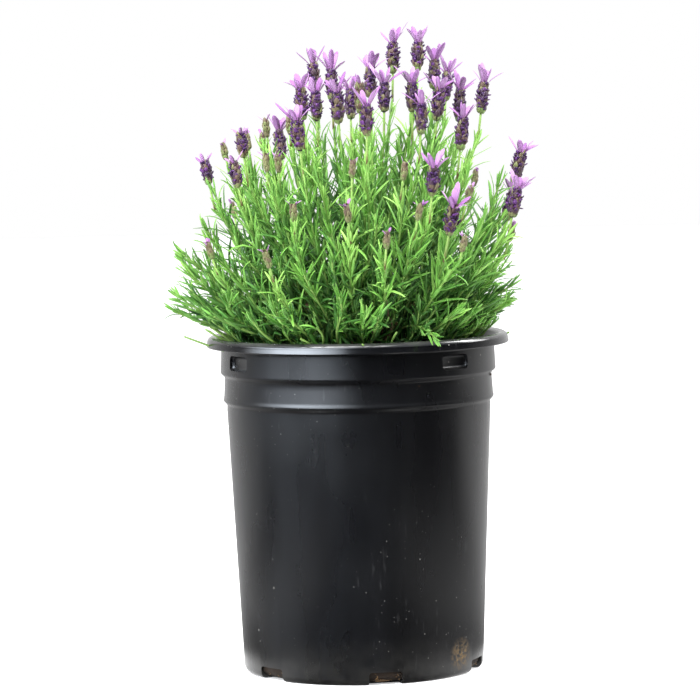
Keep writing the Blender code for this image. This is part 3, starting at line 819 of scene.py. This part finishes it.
body = turned("mix_body", mix_outline(), 96)
settle(body)
for vertex in body.data.vertices:
    if vertex.co.z > MIX_EDGE - 0.5 * MM:
        lump = noise.fractal(vertex.co * 90, 1.0, 2.0, 4)
        vertex.co.z += 2.2 * MM * lump
smooth(body)
mix_finish = growth_finish(
    "peat and bark",
    [(0.0, (0.012, 0.007, 0.004)), (0.5, (0.045, 0.024, 0.012)), (1.0, (0.13, 0.075, 0.035))],
    under=(0.03, 0.018, 0.01), under_share=0.5, vein=0.45, rough=(0.75, 0.95))
grain_finish = growth_finish(
    "white grit", [(0.0, (0.45, 0.43, 0.38)), (1.0, (0.72, 0.70, 0.66))],
    under=(0.3, 0.27, 0.22), under_share=0.5, vein=0.2, rough=(0.8, 0.95))
root_finish = growth_finish(
    "fine root", [(0.0, (0.05, 0.028, 0.012)), (1.0, (0.19, 0.11, 0.045))],
    under=(0.1, 0.06, 0.03), under_share=0.3, vein=0.3, rough=(0.7, 0.9))
body.data.materials.append(mix_finish)
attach(body, "root")
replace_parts(body, "potting_mix")
rng = np.random.default_rng(13)
CHIP_SHAPE = np.array([0.75, 0.95, 1.0, 0.9, 0.7])
pile = Pile()
place, along, up, length = chips_on(rng, CHIPS, 70 * MM, (2.5, 9.0))
width = length * rng.uniform(0.25, 0.6, CHIPS)
blades(pile, place - along * length[:, None] / 2, along, up, length, width,
       rng.normal(0, 0.3, CHIPS), rng.random(CHIPS), CHIP_SHAPE, 0, 1.4)
place, along, up, length = chips_on(rng, GRAINS, 70 * MM, (1.2, 3.0))
width = length * rng.uniform(0.7, 1.0, GRAINS)
blades(pile, place - along * length[:, None] / 2, along, up, length, width,
       np.zeros(GRAINS), rng.random(GRAINS), CHIP_SHAPE, 1, 1.8)
pile.build("bark_and_grit", [mix_finish, grain_finish], "potting_mix")
pile = Pile()
for notch_angle in NOTCH_ANGLES:
    for _ in range(ROOTS):
        turn = math.radians(notch_angle + rng.uniform(-6.5, 6.5))
        out = rng.uniform(57.5, 62.8) * MM
        middle = np.array([math.sin(turn) * out, -math.cos(turn) * out, rng.uniform(2.6, 5.2) * MM])
        control = middle + rng.normal(0, 1, (3, 3)) * (2.2 * MM, 2.2 * MM, 1.0 * MM)
        share = np.linspace(0, 1, 7)[:, None]
        path = control[0] * (1 - share) ** 2 + control[1] * 2 * share * (1 - share) + control[2] * share**2
        radius = np.hypot(path[:, 0], path[:, 1])
        path[:, :2] *= np.minimum(1.0, 64.0 * MM / radius)[:, None]
        path[:, 2] = np.clip(path[:, 2], 2.3 * MM, 6.2 * MM)
        stems(pile, path[None], np.full((1, 7), rng.uniform(0.08, 0.22) * MM), rng.random(1), 0, 5)
pile.build("notch_roots", [root_finish], "potting_mix")
print("mix:", CHIPS, "chips,", GRAINS, "grains and", ROOTS * len(NOTCH_ANGLES), "roots")

# %% [markdown]
# ## Woody crown
# An old lavender stands on a short knotty trunk that breaks at once into brown woody branches.
# The shoots grow from those. The trunk is a lumpy turned solid, and each branch is a stem that
# thins as it rises.

# %% Woody crown
CROWN_LOW, CROWN_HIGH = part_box("woody_crown")
CROWN = np.array([(CROWN_LOW.x + CROWN_HIGH.x) / 2, (CROWN_LOW.y + CROWN_HIGH.y) / 2, 163.5 * MM])
BRANCHES = 34
GOLDEN_TURN = 2.39996
rng = np.random.default_rng(17)
bark_finish = growth_finish(
    "woody bark",
    [(0.0, (0.055, 0.033, 0.018)), (0.5, (0.13, 0.085, 0.05)), (1.0, (0.24, 0.17, 0.105))],
    under=(0.07, 0.045, 0.025), under_share=0.4, vein=0.5, rough=(0.75, 0.95))
pile = Pile()
trunk = np.array([CROWN + np.array([0.0, 0.0, z * MM]) for z in (-9, -6, -3, 0, 4, 8, 11)])
stems(pile, trunk[None], np.array([[11, 12.5, 12, 10.5, 8.5, 7, 4]]) * MM, np.array([0.4]), 0, 14)
for index in range(BRANCHES):
    turn = index * GOLDEN_TURN + rng.normal(0, 0.2)
    far = rng.uniform(26, 58) * MM
    tip = CROWN + np.array([math.cos(turn) * far, math.sin(turn) * far, rng.uniform(14, 44) * MM])
    share = np.linspace(0.0, 1.0, 12)
    span = tip - CROWN
    path = CROWN + np.stack([span[0] * share**0.75, span[1] * share**0.75, span[2] * share], -1)
    path += np.sin(share * 9 + index)[:, None] * rng.normal(0, 0.8 * MM, 3)
    radii = np.linspace(2.4, 1.15, 12) * MM * rng.uniform(0.85, 1.15, 12)
    stems(pile, path[None], radii[None], rng.uniform(0.2, 0.9, 1), 0, 8)
crown = pile.build("woody_crown_and_branches", [bark_finish], "woody_crown")
for vertex in crown.data.vertices:
    knobs = [noise.noise(vertex.co * 300 + Vector((shift, 0, 0))) for shift in (0.0, 7.0, 13.0)]
    vertex.co += Vector(knobs) * 0.5 * MM
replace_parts(crown, "woody_crown")
print("crown:", BRANCHES, "branches")

# %% [markdown]
# ## Flower heads
# Each flower head is a short spike of overlapping calyx scales with dark florets poking out
# between them, topped by a tuft of petal-like bracts. The tuft is what people notice, but the
# saw-tooth edge of the spike is what makes it this kind of lavender, so every scale and floret
# is a blade of its own. Unopened heads are slim green spikes with two tiny pink ears.

# %% Head places
def packed_head(node):
    """Foot and direction of a packed flower head, from its own points."""
    points = np.array([vertex.co for vertex in NODES[node].data.vertices])
    foot = points[points[:, 2] < points[:, 2].min() + 1 * MM].mean(0)
    return foot, unit(points.mean(0) - foot)


HEAD_NODES = sorted(name for name in NODES if name.startswith("flower_head"))
STALK_LENGTH, SPIKE_LENGTH = 14.0 * MM, 17.0 * MM
packed_heads = [packed_head(name) for name in HEAD_NODES]

# More open heads, one young, one faded and many buds, each as the middle of its spike.
MORE_OPEN = (
    (0.045, 0.012, 0.324), (0.059, 0.025, 0.306), (0.046, -0.018, 0.307), (0.032, -0.022, 0.312),
    (0.010, 0.020, 0.320), (-0.008, -0.052, 0.307), (-0.020, 0.008, 0.308), (-0.029, -0.066, 0.293),
    (0.085, -0.045, 0.255), (0.050, -0.084, 0.247),
)
YOUNG = ((-0.063, -0.048, 0.274),)
YOUNG_NODES = (13, 14)
FADED = ((0.004, -0.030, 0.312),)
BUDS = (
    (-0.059, 0.042, 0.275),
    (-0.035, 0.020, 0.297), (-0.047, -0.008, 0.296), (-0.058, 0.018, 0.289), (-0.070, -0.005, 0.284),
    (-0.046, -0.072, 0.279), (-0.040, -0.062, 0.278), (0.033, -0.092, 0.252), (0.060, -0.066, 0.260),
    (0.056, -0.086, 0.235), (0.083, -0.040, 0.238), (-0.032, -0.090, 0.253), (-0.077, -0.062, 0.233),
    (-0.046, -0.094, 0.229), (0.016, -0.100, 0.238), (-0.004, -0.096, 0.252), (-0.001, -0.086, 0.275),
    (0.026, -0.078, 0.273), (0.030, 0.085, 0.270), (-0.030, 0.088, 0.262), (0.068, 0.062, 0.265),
    (-0.068, 0.060, 0.250), (0.005, 0.096, 0.250), (0.052, 0.088, 0.242), (-0.050, 0.030, 0.288),
    (0.010, 0.090, 0.285),
)


HEAD_LEAN = 0.22


def lean(middle):
    """The direction of a head that stands at a place, leaning out a little."""
    return unit(np.array([HEAD_LEAN * middle[0], HEAD_LEAN * middle[1], middle[2] - POT_TOP]))


print("head places:", len(packed_heads), "packed and", len(MORE_OPEN + YOUNG + FADED + BUDS), "more")

# %% [markdown]
# A head is built from the inside out: stalk, soft core, rows of calyx scales set like roof tiles,
# dark florets between them, and the bracts on top. The same recipe makes an open, a young, a
# faded and an unopened head; only counts, sizes and tones differ.

# %% Head shapes
SCALE_SHAPE = np.array([0.7, 0.95, 1.0, 0.7, 0.3])
FLORET_SHAPE = np.array([0.5, 0.75, 1.0, 1.0, 0.6])
BRACT_SHAPE = np.array([0.38, 0.55, 0.92, 1.0, 0.6])
CORE_BULGE = np.array([0.5, 0.92, 1.12, 1.15, 1.0, 0.78, 0.4])
STALK_RADIUS, SPIKE_RADIUS, BUD_SLIMNESS = 0.65 * MM, 2.5 * MM, 0.62
# For each kind: its size, rows of scales, scales in a row, their opening in degrees and their size,
# outer bracts (an open head draws its own number), inner bracts, and a bract's length and width.
HEAD_KINDS = {
    "open": (1.0, 8, 6, 24, 1.0, None, 3, 1.0, 1.0),
    "faded": (0.95, 7, 6, 24, 1.0, 3, 1, 0.6, 0.7),
    "young": (0.78, 7, 6, 24, 1.0, 3, 1, 0.6, 0.7),
    "bud": (0.55, 6, 5, 16, 0.72, 2, 1, 0.36, 0.5),
}


def around(axis, angles, guide=(0.1, 1.0, 0.2)):
    """Directions square to an axis, at angles about it."""
    first = unit(np.cross(axis, guide))
    return np.cos(angles)[:, None] * first + np.sin(angles)[:, None] * np.cross(axis, first)


def splayed(axis, out, angle):
    """Directions tilted from an axis towards its sides, and the directions of their upper faces."""
    angle = angle[:, None]
    return axis * np.cos(angle) + out * np.sin(angle), axis * np.sin(angle) - out * np.cos(angle)


def flower_head(name, foot, axis, rng, kind="open", stalk=STALK_LENGTH):
    """One flower head with its stalk, as a piece of its own."""
    pile = Pile()
    size, rows, per, opening, scale_size, outer, inner, bract_long, bract_wide = HEAD_KINDS[kind]
    size = size * rng.uniform(0.92, 1.08)
    length, radius = SPIKE_LENGTH * size, SPIKE_RADIUS * (BUD_SLIMNESS if kind == "bud" else size)
    start = foot + axis * stalk
    line = np.linspace(-0.12, 1.0, 5)[:, None] * axis * stalk + foot
    stems(pile, line[None], np.full((1, 5), STALK_RADIUS), np.array([rng.uniform(0.6, 0.9)]), STEM)
    core = start + np.linspace(0.0, 0.93, 7)[:, None] * axis * length
    core_finish = CALYX if kind == "bud" else FLORET
    stems(pile, core[None], CORE_BULGE[None] * radius * 0.8, np.array([0.15]), core_finish)
    # Calyx scales, in rows that are turned half a step against each other.
    row = np.repeat(np.arange(rows), per)
    share = (row + 0.3 + rng.uniform(-0.3, 0.3, len(row))) / rows
    angle = np.tile(np.arange(per) / per * 2 * np.pi, rows) + row * np.pi / per
    angle = angle + rng.normal(0, 0.2, len(row))
    out = around(axis, angle)
    bulge = np.interp(share, np.linspace(0, 1, 7), CORE_BULGE)[:, None]
    base = start + axis * (share * length * 0.86)[:, None] + out * bulge * radius * 0.62
    along, up = splayed(axis, out, np.radians(rng.normal(opening, 7, len(row))))
    if kind == "faded":
        tone = rng.uniform(0.15, 0.6, len(row))
    else:
        tone = rng.uniform(0.25, 1.1, len(row)) * np.clip(share * 6, 0, 1)
    if kind == "bud":
        tone = rng.uniform(0.0, 0.30, len(row)) + 0.25 * share
    scale = rng.uniform(0.85, 1.15, len(row)) * scale_size
    blades(pile, base, along, up, scale * 4.2 * MM, scale * 2.9 * MM, np.full(len(row), -0.5), tone,
           SCALE_SHAPE, CALYX, 1.3)
    # Dark florets between the scales.
    if kind in ("open", "young"):
        picked = rng.random(len(row)) < 0.85
        count = int(picked.sum())
        angle = angle[picked] + np.pi / per * rng.uniform(0.6, 1.4, count)
        out = around(axis, angle)
        bulge = bulge[picked]
        up_spike = (share[picked] * length * 0.84 + 1.6 * MM)[:, None]
        base = start + axis * up_spike + out * bulge * radius * 0.8
        along, up = splayed(axis, out, np.radians(rng.normal(38, 14, count)))
        reach, width = rng.uniform(2.0, 3.6, count) * MM, rng.uniform(1.7, 2.5, count) * MM
        blades(pile, base, along, up, reach, width, rng.normal(-0.2, 0.4, count),
               rng.uniform(0.1, 1.0, count), FLORET_SHAPE, FLORET, 1.2)
    # The tuft of bracts: an outer ring that opens and a few upright ones inside it.
    drawn = int(rng.integers(4, 6))
    count = outer or drawn
    total = count + inner
    angle = rng.uniform(0, 2 * np.pi) + np.arange(total) * 2 * np.pi / count + rng.normal(0, 0.22, total)
    out = around(axis, angle)
    tilt = np.append(rng.uniform(14, 40, count), rng.uniform(3, 14, inner))
    along, up = splayed(axis, out, np.radians(tilt))
    base = start + axis * length * 0.86 + out * 0.7 * MM
    span = np.append(rng.uniform(10.5, 16.0, count), rng.uniform(7.0, 12.0, inner)) * MM * bract_long
    broad = rng.uniform(2.6, 4.0, total) * MM * bract_wide
    blades(pile, base, along, up, span, broad, rng.uniform(0.1, 0.9, total),
           rng.uniform(0.25, 1.0, total), BRACT_SHAPE, BRACT, 0.45)
    return pile.build(name, FINISHES, "flower_head")


FINISHES.append(bark_finish)
BARK = 5
rng = np.random.default_rng(21)
head_ends = []
for index, (foot, axis) in enumerate(packed_heads):
    kind = "young" if index in YOUNG_NODES else "open"
    obj = flower_head(f"lavender_flower_{index + 1:02d}", foot, axis, rng, kind)
    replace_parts(obj, HEAD_NODES[index])
    head_ends.append(foot)
for kind, places in (("open", MORE_OPEN), ("faded", FADED), ("young", YOUNG), ("bud", BUDS)):
    for index, middle in enumerate(places):
        middle = np.array(middle)
        axis = unit(lean(middle) + rng.normal(0, 0.06, 3))
        stalk = (STALK_LENGTH if kind != "bud" else 9 * MM) * rng.uniform(0.6, 1.2)
        half = SPIKE_LENGTH / 2 * (0.55 if kind == "bud" else 1.0)
        foot = middle - axis * (stalk + half)
        flower_head(f"{kind}_flower_{index + 1:02d}", foot, axis, rng, kind, stalk)
        head_ends.append(foot)
print("flower heads:", len(head_ends))

# %% [markdown]
# ## Leafy shoots
# Leaves sit on a lavender shoot in opposite pairs, and each pair is turned a quarter from the
# one below. Small leaves fill the angle above every older pair. Near the tip the pairs crowd
# together and stand upright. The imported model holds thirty-eight shoots with a few leaves each.
# Here they get their full foliage, and many more shoots fill the clump out to its rounded edge.

# %% Shoot routes
RINGS = ((12, 8.5 * MM, 14.5 * MM, 12.0, "low_shoot"), (8, 3.5 * MM, 44.5 * MM, 41.8, "middle_shoot"))
RING_SHIFT = -8 * MM
CLUMP_RADIUS, CLUMP_HEIGHT, CLUMP_FOOT, CLUMP_SHIFT = 91 * MM, 120 * MM, 180 * MM, -11 * MM
CLUMP_POWER = 2.7


def arched(start, tip, arch, points=14):
    """Points of a shoot that sets out low and turns upward."""
    share = np.linspace(0.0, 1.0, points)
    span = tip - start
    return start + np.stack([span[0] * share**arch, span[1] * share**arch, span[2] * share], -1)


def swayed(path, amount, rng):
    """A path with a slow random sway between its two ends."""
    share = np.linspace(0.0, 1.0, len(path))
    for wave in (1, 2, 3):
        path = path + np.sin(share * np.pi * wave)[:, None] * rng.normal(0, amount / wave, 3) * (1, 1, 0.4)
    return path


def clump_edge(turn, rise, depth):
    """A place on the clump's rounded edge, or inside it at a smaller depth."""
    flat, tall = np.cos(rise), np.sin(rise)
    power = CLUMP_POWER
    reach = depth * ((flat / CLUMP_RADIUS) ** power + (max(tall, 0) / CLUMP_HEIGHT) ** power) ** (-1 / power)
    shift = CLUMP_SHIFT + 0.18 * max(tall, 0) * reach
    sideways, back = reach * flat * np.cos(turn), reach * flat * np.sin(turn)
    return np.array([shift + sideways, back, CLUMP_FOOT + reach * tall])


def nearness(places):
    """How near places are to the clump's edge: 1 at the edge and 0 in its middle."""
    flat = np.hypot(places[:, 0] + 4 * MM, places[:, 1]) / CLUMP_RADIUS
    tall = np.maximum(places[:, 2] - CLUMP_FOOT, 0) / CLUMP_HEIGHT
    return np.clip((flat**CLUMP_POWER + tall**CLUMP_POWER) ** (1 / CLUMP_POWER), 0, 1)


def over_pot(places):
    """Whether places keep clear of the pot's wall and rim."""
    far = np.hypot(places[:, 0], places[:, 1])
    floor_here = POT_TOP + 2.3 * MM + np.clip((far - 74 * MM) * 0.6, 0, 5 * MM)
    return (far < 68 * MM) | (places[:, 2] > floor_here)


print("clump:", round(2 * CLUMP_RADIUS / MM), "mm across and", round(CLUMP_HEIGHT / MM), "mm high")

# %% [markdown]
# Leaves are placed from the tip down, because the tip's crowded young leaves are what shows.
# Older ones open wider and grow longer, and all of them get darker deep in the clump as painted shade.

# %% Leaves on a shoot
def leafy(pile, path, rng, first=0.3, vigour=1.0, tone=0.5, bare=0.0, small=True, over_rim=False, curl=0.6):
    """Clothe a shoot in leaf pairs from a share of its length up to its tip."""
    steps = np.linalg.norm(np.diff(path, axis=0), axis=1)
    arc = np.append(0.0, np.cumsum(steps))
    total = arc[-1]
    places, here = [], total - bare
    gap = 1.6 * MM
    while here > first * total:
        places.append(here)
        here -= gap * rng.uniform(0.85, 1.15)
        gap = min(gap + 1.1 * MM, 7.0 * MM)
    place = np.array(places)
    middle = np.stack([np.interp(place, arc, path[:, axis]) for axis in range(3)], -1)
    tangents = unit(np.gradient(path, axis=0))
    tangent = unit(np.stack([np.interp(place, arc, tangents[:, axis]) for axis in range(3)], -1))
    back = total - bare - place
    turn = rng.uniform(0, 2 * np.pi) + np.arange(len(place)) * np.pi / 2 + rng.normal(0, 0.18, len(place))
    # Each pair's two leaves, then the small leaves in their angles.
    which = np.repeat(np.arange(len(place)), 2)
    spin = turn[which] + np.tile([0.0, np.pi], len(place)) + rng.normal(0, 0.14, 2 * len(place))
    grown = np.clip(back[which] / (26 * MM), 0.0, 1.0)
    opened = np.clip(back[which] / (45 * MM), 0.0, 1.0)
    long = (9.5 + 12.0 * grown) * MM * vigour * rng.uniform(0.8, 1.15, len(which))
    angle = np.radians(14 + 30 * opened + rng.normal(0, 9, len(which)))
    shade = tone + 0.28 * (1 - opened) + rng.normal(0, 0.13, len(which))
    # Painted shade: leaves further inside the clump are darkened.
    shade = shade - 0.75 * (1 - nearness(middle))[which]
    wide = (1.25 + 0.68 * grown) * MM * rng.uniform(0.85, 1.15, len(which))
    if small:
        kept = np.repeat(which[back[which] > 9 * MM], 2)
        pair = np.repeat(np.nonzero(back[which] > 9 * MM)[0], 2)
        which = np.append(which, kept)
        spin = np.append(spin, spin[pair] + rng.normal(0, 0.65, len(pair)))
        long = np.append(long, rng.uniform(5.0, 10.5, len(pair)) * MM * vigour)
        angle = np.append(angle, angle[pair] * rng.uniform(0.45, 0.95, len(pair)))
        shade = np.append(shade, shade[pair] + rng.normal(0.08, 0.12, len(pair)))
        wide = np.append(wide, rng.uniform(1.1, 1.7, len(pair)) * MM)
    axis = tangent[which]
    out = around(axis, spin, (0.13, 0.97, 0.21))
    along, up = splayed(axis, out, angle)
    along = unit(along + np.array([0.0, 0.0, 0.12]))
    up = up + rng.normal(0, 0.22, up.shape)
    bend = rng.normal(0.15, curl, len(which))
    # A leaf that would lie on the pot's rim is left out.
    start = middle[which] + out * 0.5 * MM
    end = start + along * long[:, None] - unit(up) * (bend * long * 0.5)[:, None]
    clear = np.full(len(which), over_rim)
    clear |= over_pot(start) & over_pot((start + end) / 2) & over_pot(end)
    blades(pile, start[clear], along[clear], up[clear], long[clear], wide[clear], bend[clear],
           np.clip(shade[clear], 0, 1), LEAF_SHAPE, LEAF)


def shoot(pile, path, rng, thick=0.9 * MM, **habit):
    """A stem and its leaves."""
    taper = np.linspace(1.0, 0.62, len(path)) * thick
    stems(pile, path[None], taper[None], np.array([rng.uniform(0.3, 0.8)]), STEM)
    leafy(pile, path, rng, **habit)


rng = np.random.default_rng(4)
for index, (foot, axis) in enumerate(packed_heads):
    pile = Pile()
    path = swayed(arched(CROWN, foot, 0.8), 0.5 * MM, rng)
    shoot(pile, path, rng, first=0.30, tone=rng.uniform(0.45, 0.75), bare=rng.uniform(0, 8) * MM)
    node = f"flowering_shoot_{index + 1:02d}"
    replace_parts(pile.build(f"leafy_{node}", FINISHES, "leafy_shoot"), node)
for count, reach, rise, turn, label in RINGS:
    for index in range(count):
        angle = math.radians(turn + 360.0 / count * index)
        out = RIM_RADIUS + reach
        tip = np.array([RING_SHIFT + math.cos(angle) * out, math.sin(angle) * out, POT_TOP + rise])
        pile = Pile()
        path = swayed(arched(CROWN, tip, 0.8), 0.5 * MM, rng)
        shoot(pile, path, rng, first=0.45, tone=rng.uniform(0.15, 0.5), curl=0.7)
        node = f"{label}_{index + 1:02d}"
        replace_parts(pile.build(f"leafy_{node}", FINISHES, "leafy_shoot"), node)
print("packed shoots:", len(packed_heads) + sum(ring[0] for ring in RINGS))

# %% [markdown]
# Many more shoots fill the clump out to its rounded edge: one under each further head, a spiral
# of long ones, a skirt of short ones over the rim, a few bare twigs and one hanging sprig. They
# are kept in sixteen sectors like slices of a cake, which keeps every mesh to a handy size.

# %% Filling shoots
SECTORS, FILLERS, SKIRT, SIDE_SKIRT, TWIGS = 16, 120, 72, 48, 7
RIGHT_SIDE, LEFT_SIDE = (-35.0, 60.0), (150.0, 205.0)
piles = [Pile() for _ in range(SECTORS)]


def sector_of(place):
    """The pile for a place, by its direction from the middle of the pot."""
    turn = math.atan2(place[1], place[0]) / (2 * math.pi) % 1.0
    return piles[int(turn * SECTORS) % SECTORS]


rng = np.random.default_rng(9)
for foot in head_ends[len(packed_heads):]:
    outward = unit(np.array([foot[0], foot[1], 0.0]))
    start = CROWN + outward * rng.uniform(4, 22) * MM
    path = swayed(arched(start, foot, rng.uniform(0.65, 0.85)), 1.6 * MM, rng)
    shoot(sector_of(foot), path, rng, thick=0.8 * MM, first=0.35,
          tone=rng.uniform(0.45, 0.8), bare=rng.uniform(0, 5) * MM)
golden = math.pi * (3 - math.sqrt(5))
for index in range(FILLERS):
    height = (index + 0.5) / FILLERS
    rise = math.asin(height) * 0.97 + 0.02
    depth = rng.choice([1.0, 0.97, 0.9, 0.78]) * rng.uniform(0.96, 1.03)
    tip = clump_edge(golden * index + rng.normal(0, 0.12), rise, depth)
    outward = unit(np.array([tip[0], tip[1], 0.0]))
    start = CROWN + outward * rng.uniform(4, 34) * MM
    path = swayed(arched(start, tip, rng.uniform(0.55, 0.8)), 2.2 * MM, rng)
    bright = 0.2 + 0.45 * height + rng.normal(0, 0.1)
    shoot(sector_of(tip), path, rng, thick=0.8 * MM, first=0.35,
          tone=bright, vigour=rng.uniform(0.85, 1.15))
# A skirt of short shoots closes the clump down to the rim. The last of them go to both sides, where
# the rim would show bare. They draw their first place too, which keeps later draws in step.
for index in range(SKIRT + SIDE_SKIRT):
    turn = 2 * math.pi * (index + rng.uniform(0.2, 0.8)) / SKIRT
    if index >= SKIRT:
        turn = math.radians(rng.uniform(*(RIGHT_SIDE if index % 3 else LEFT_SIDE)))
    out = rng.uniform(58, 82) * MM
    rise = rng.uniform(3, 22) * MM + 0.35 * (out - 58 * MM)
    if index >= SKIRT:
        out, rise = rng.uniform(66, 80) * MM, rng.uniform(4, 14) * MM
    tip = np.array([RING_SHIFT * 0.5 + out * math.cos(turn), out * math.sin(turn), POT_TOP + rise])
    start = CROWN + np.array([tip[0], tip[1], 0.0]) * rng.uniform(0.25, 0.5)
    path = swayed(arched(start, tip, rng.uniform(0.5, 0.8)), 1.5 * MM, rng)
    shoot(sector_of(tip), path, rng, thick=0.7 * MM, first=0.3,
          tone=rng.uniform(0.1, 0.45), vigour=rng.uniform(0.65, 0.95), curl=0.9)
# A few bare twigs stand in a gap at the front.
for index in range(TWIGS):
    tip = np.array([rng.uniform(4, 20), rng.uniform(-72, -60), rng.uniform(190, 206)]) * MM
    path = swayed(arched(CROWN + np.array([4.0, -16.0, 0.0]) * MM, tip, 0.7), 2.5 * MM, rng)
    radii = np.linspace(0.9, 0.4, len(path))[None] * MM
    stems(sector_of(tip), path[None], radii, rng.uniform(0.3, 0.9, 1), BARK)
# One sprig at the front hangs over the rim.
tip = np.array([41.0, -87.0, 186.0]) * MM
path = arched(CROWN + np.array([12.0, -20.0, 14.0]) * MM, tip, 0.9)
path[:, 2] += np.sin(np.linspace(0, np.pi, len(path))) * 9 * MM
shoot(sector_of(tip), path, rng, thick=0.7 * MM, first=0.6, tone=0.25, vigour=0.6, over_rim=True, curl=0.8)
for index, pile in enumerate(piles):
    pile.build(f"clump_sector_{index + 1:02d}", FINISHES, "leafy_shoot")
print("filling shoots:", FILLERS, "long and", SKIRT + SIDE_SKIRT, "short, in", SECTORS, "sectors")
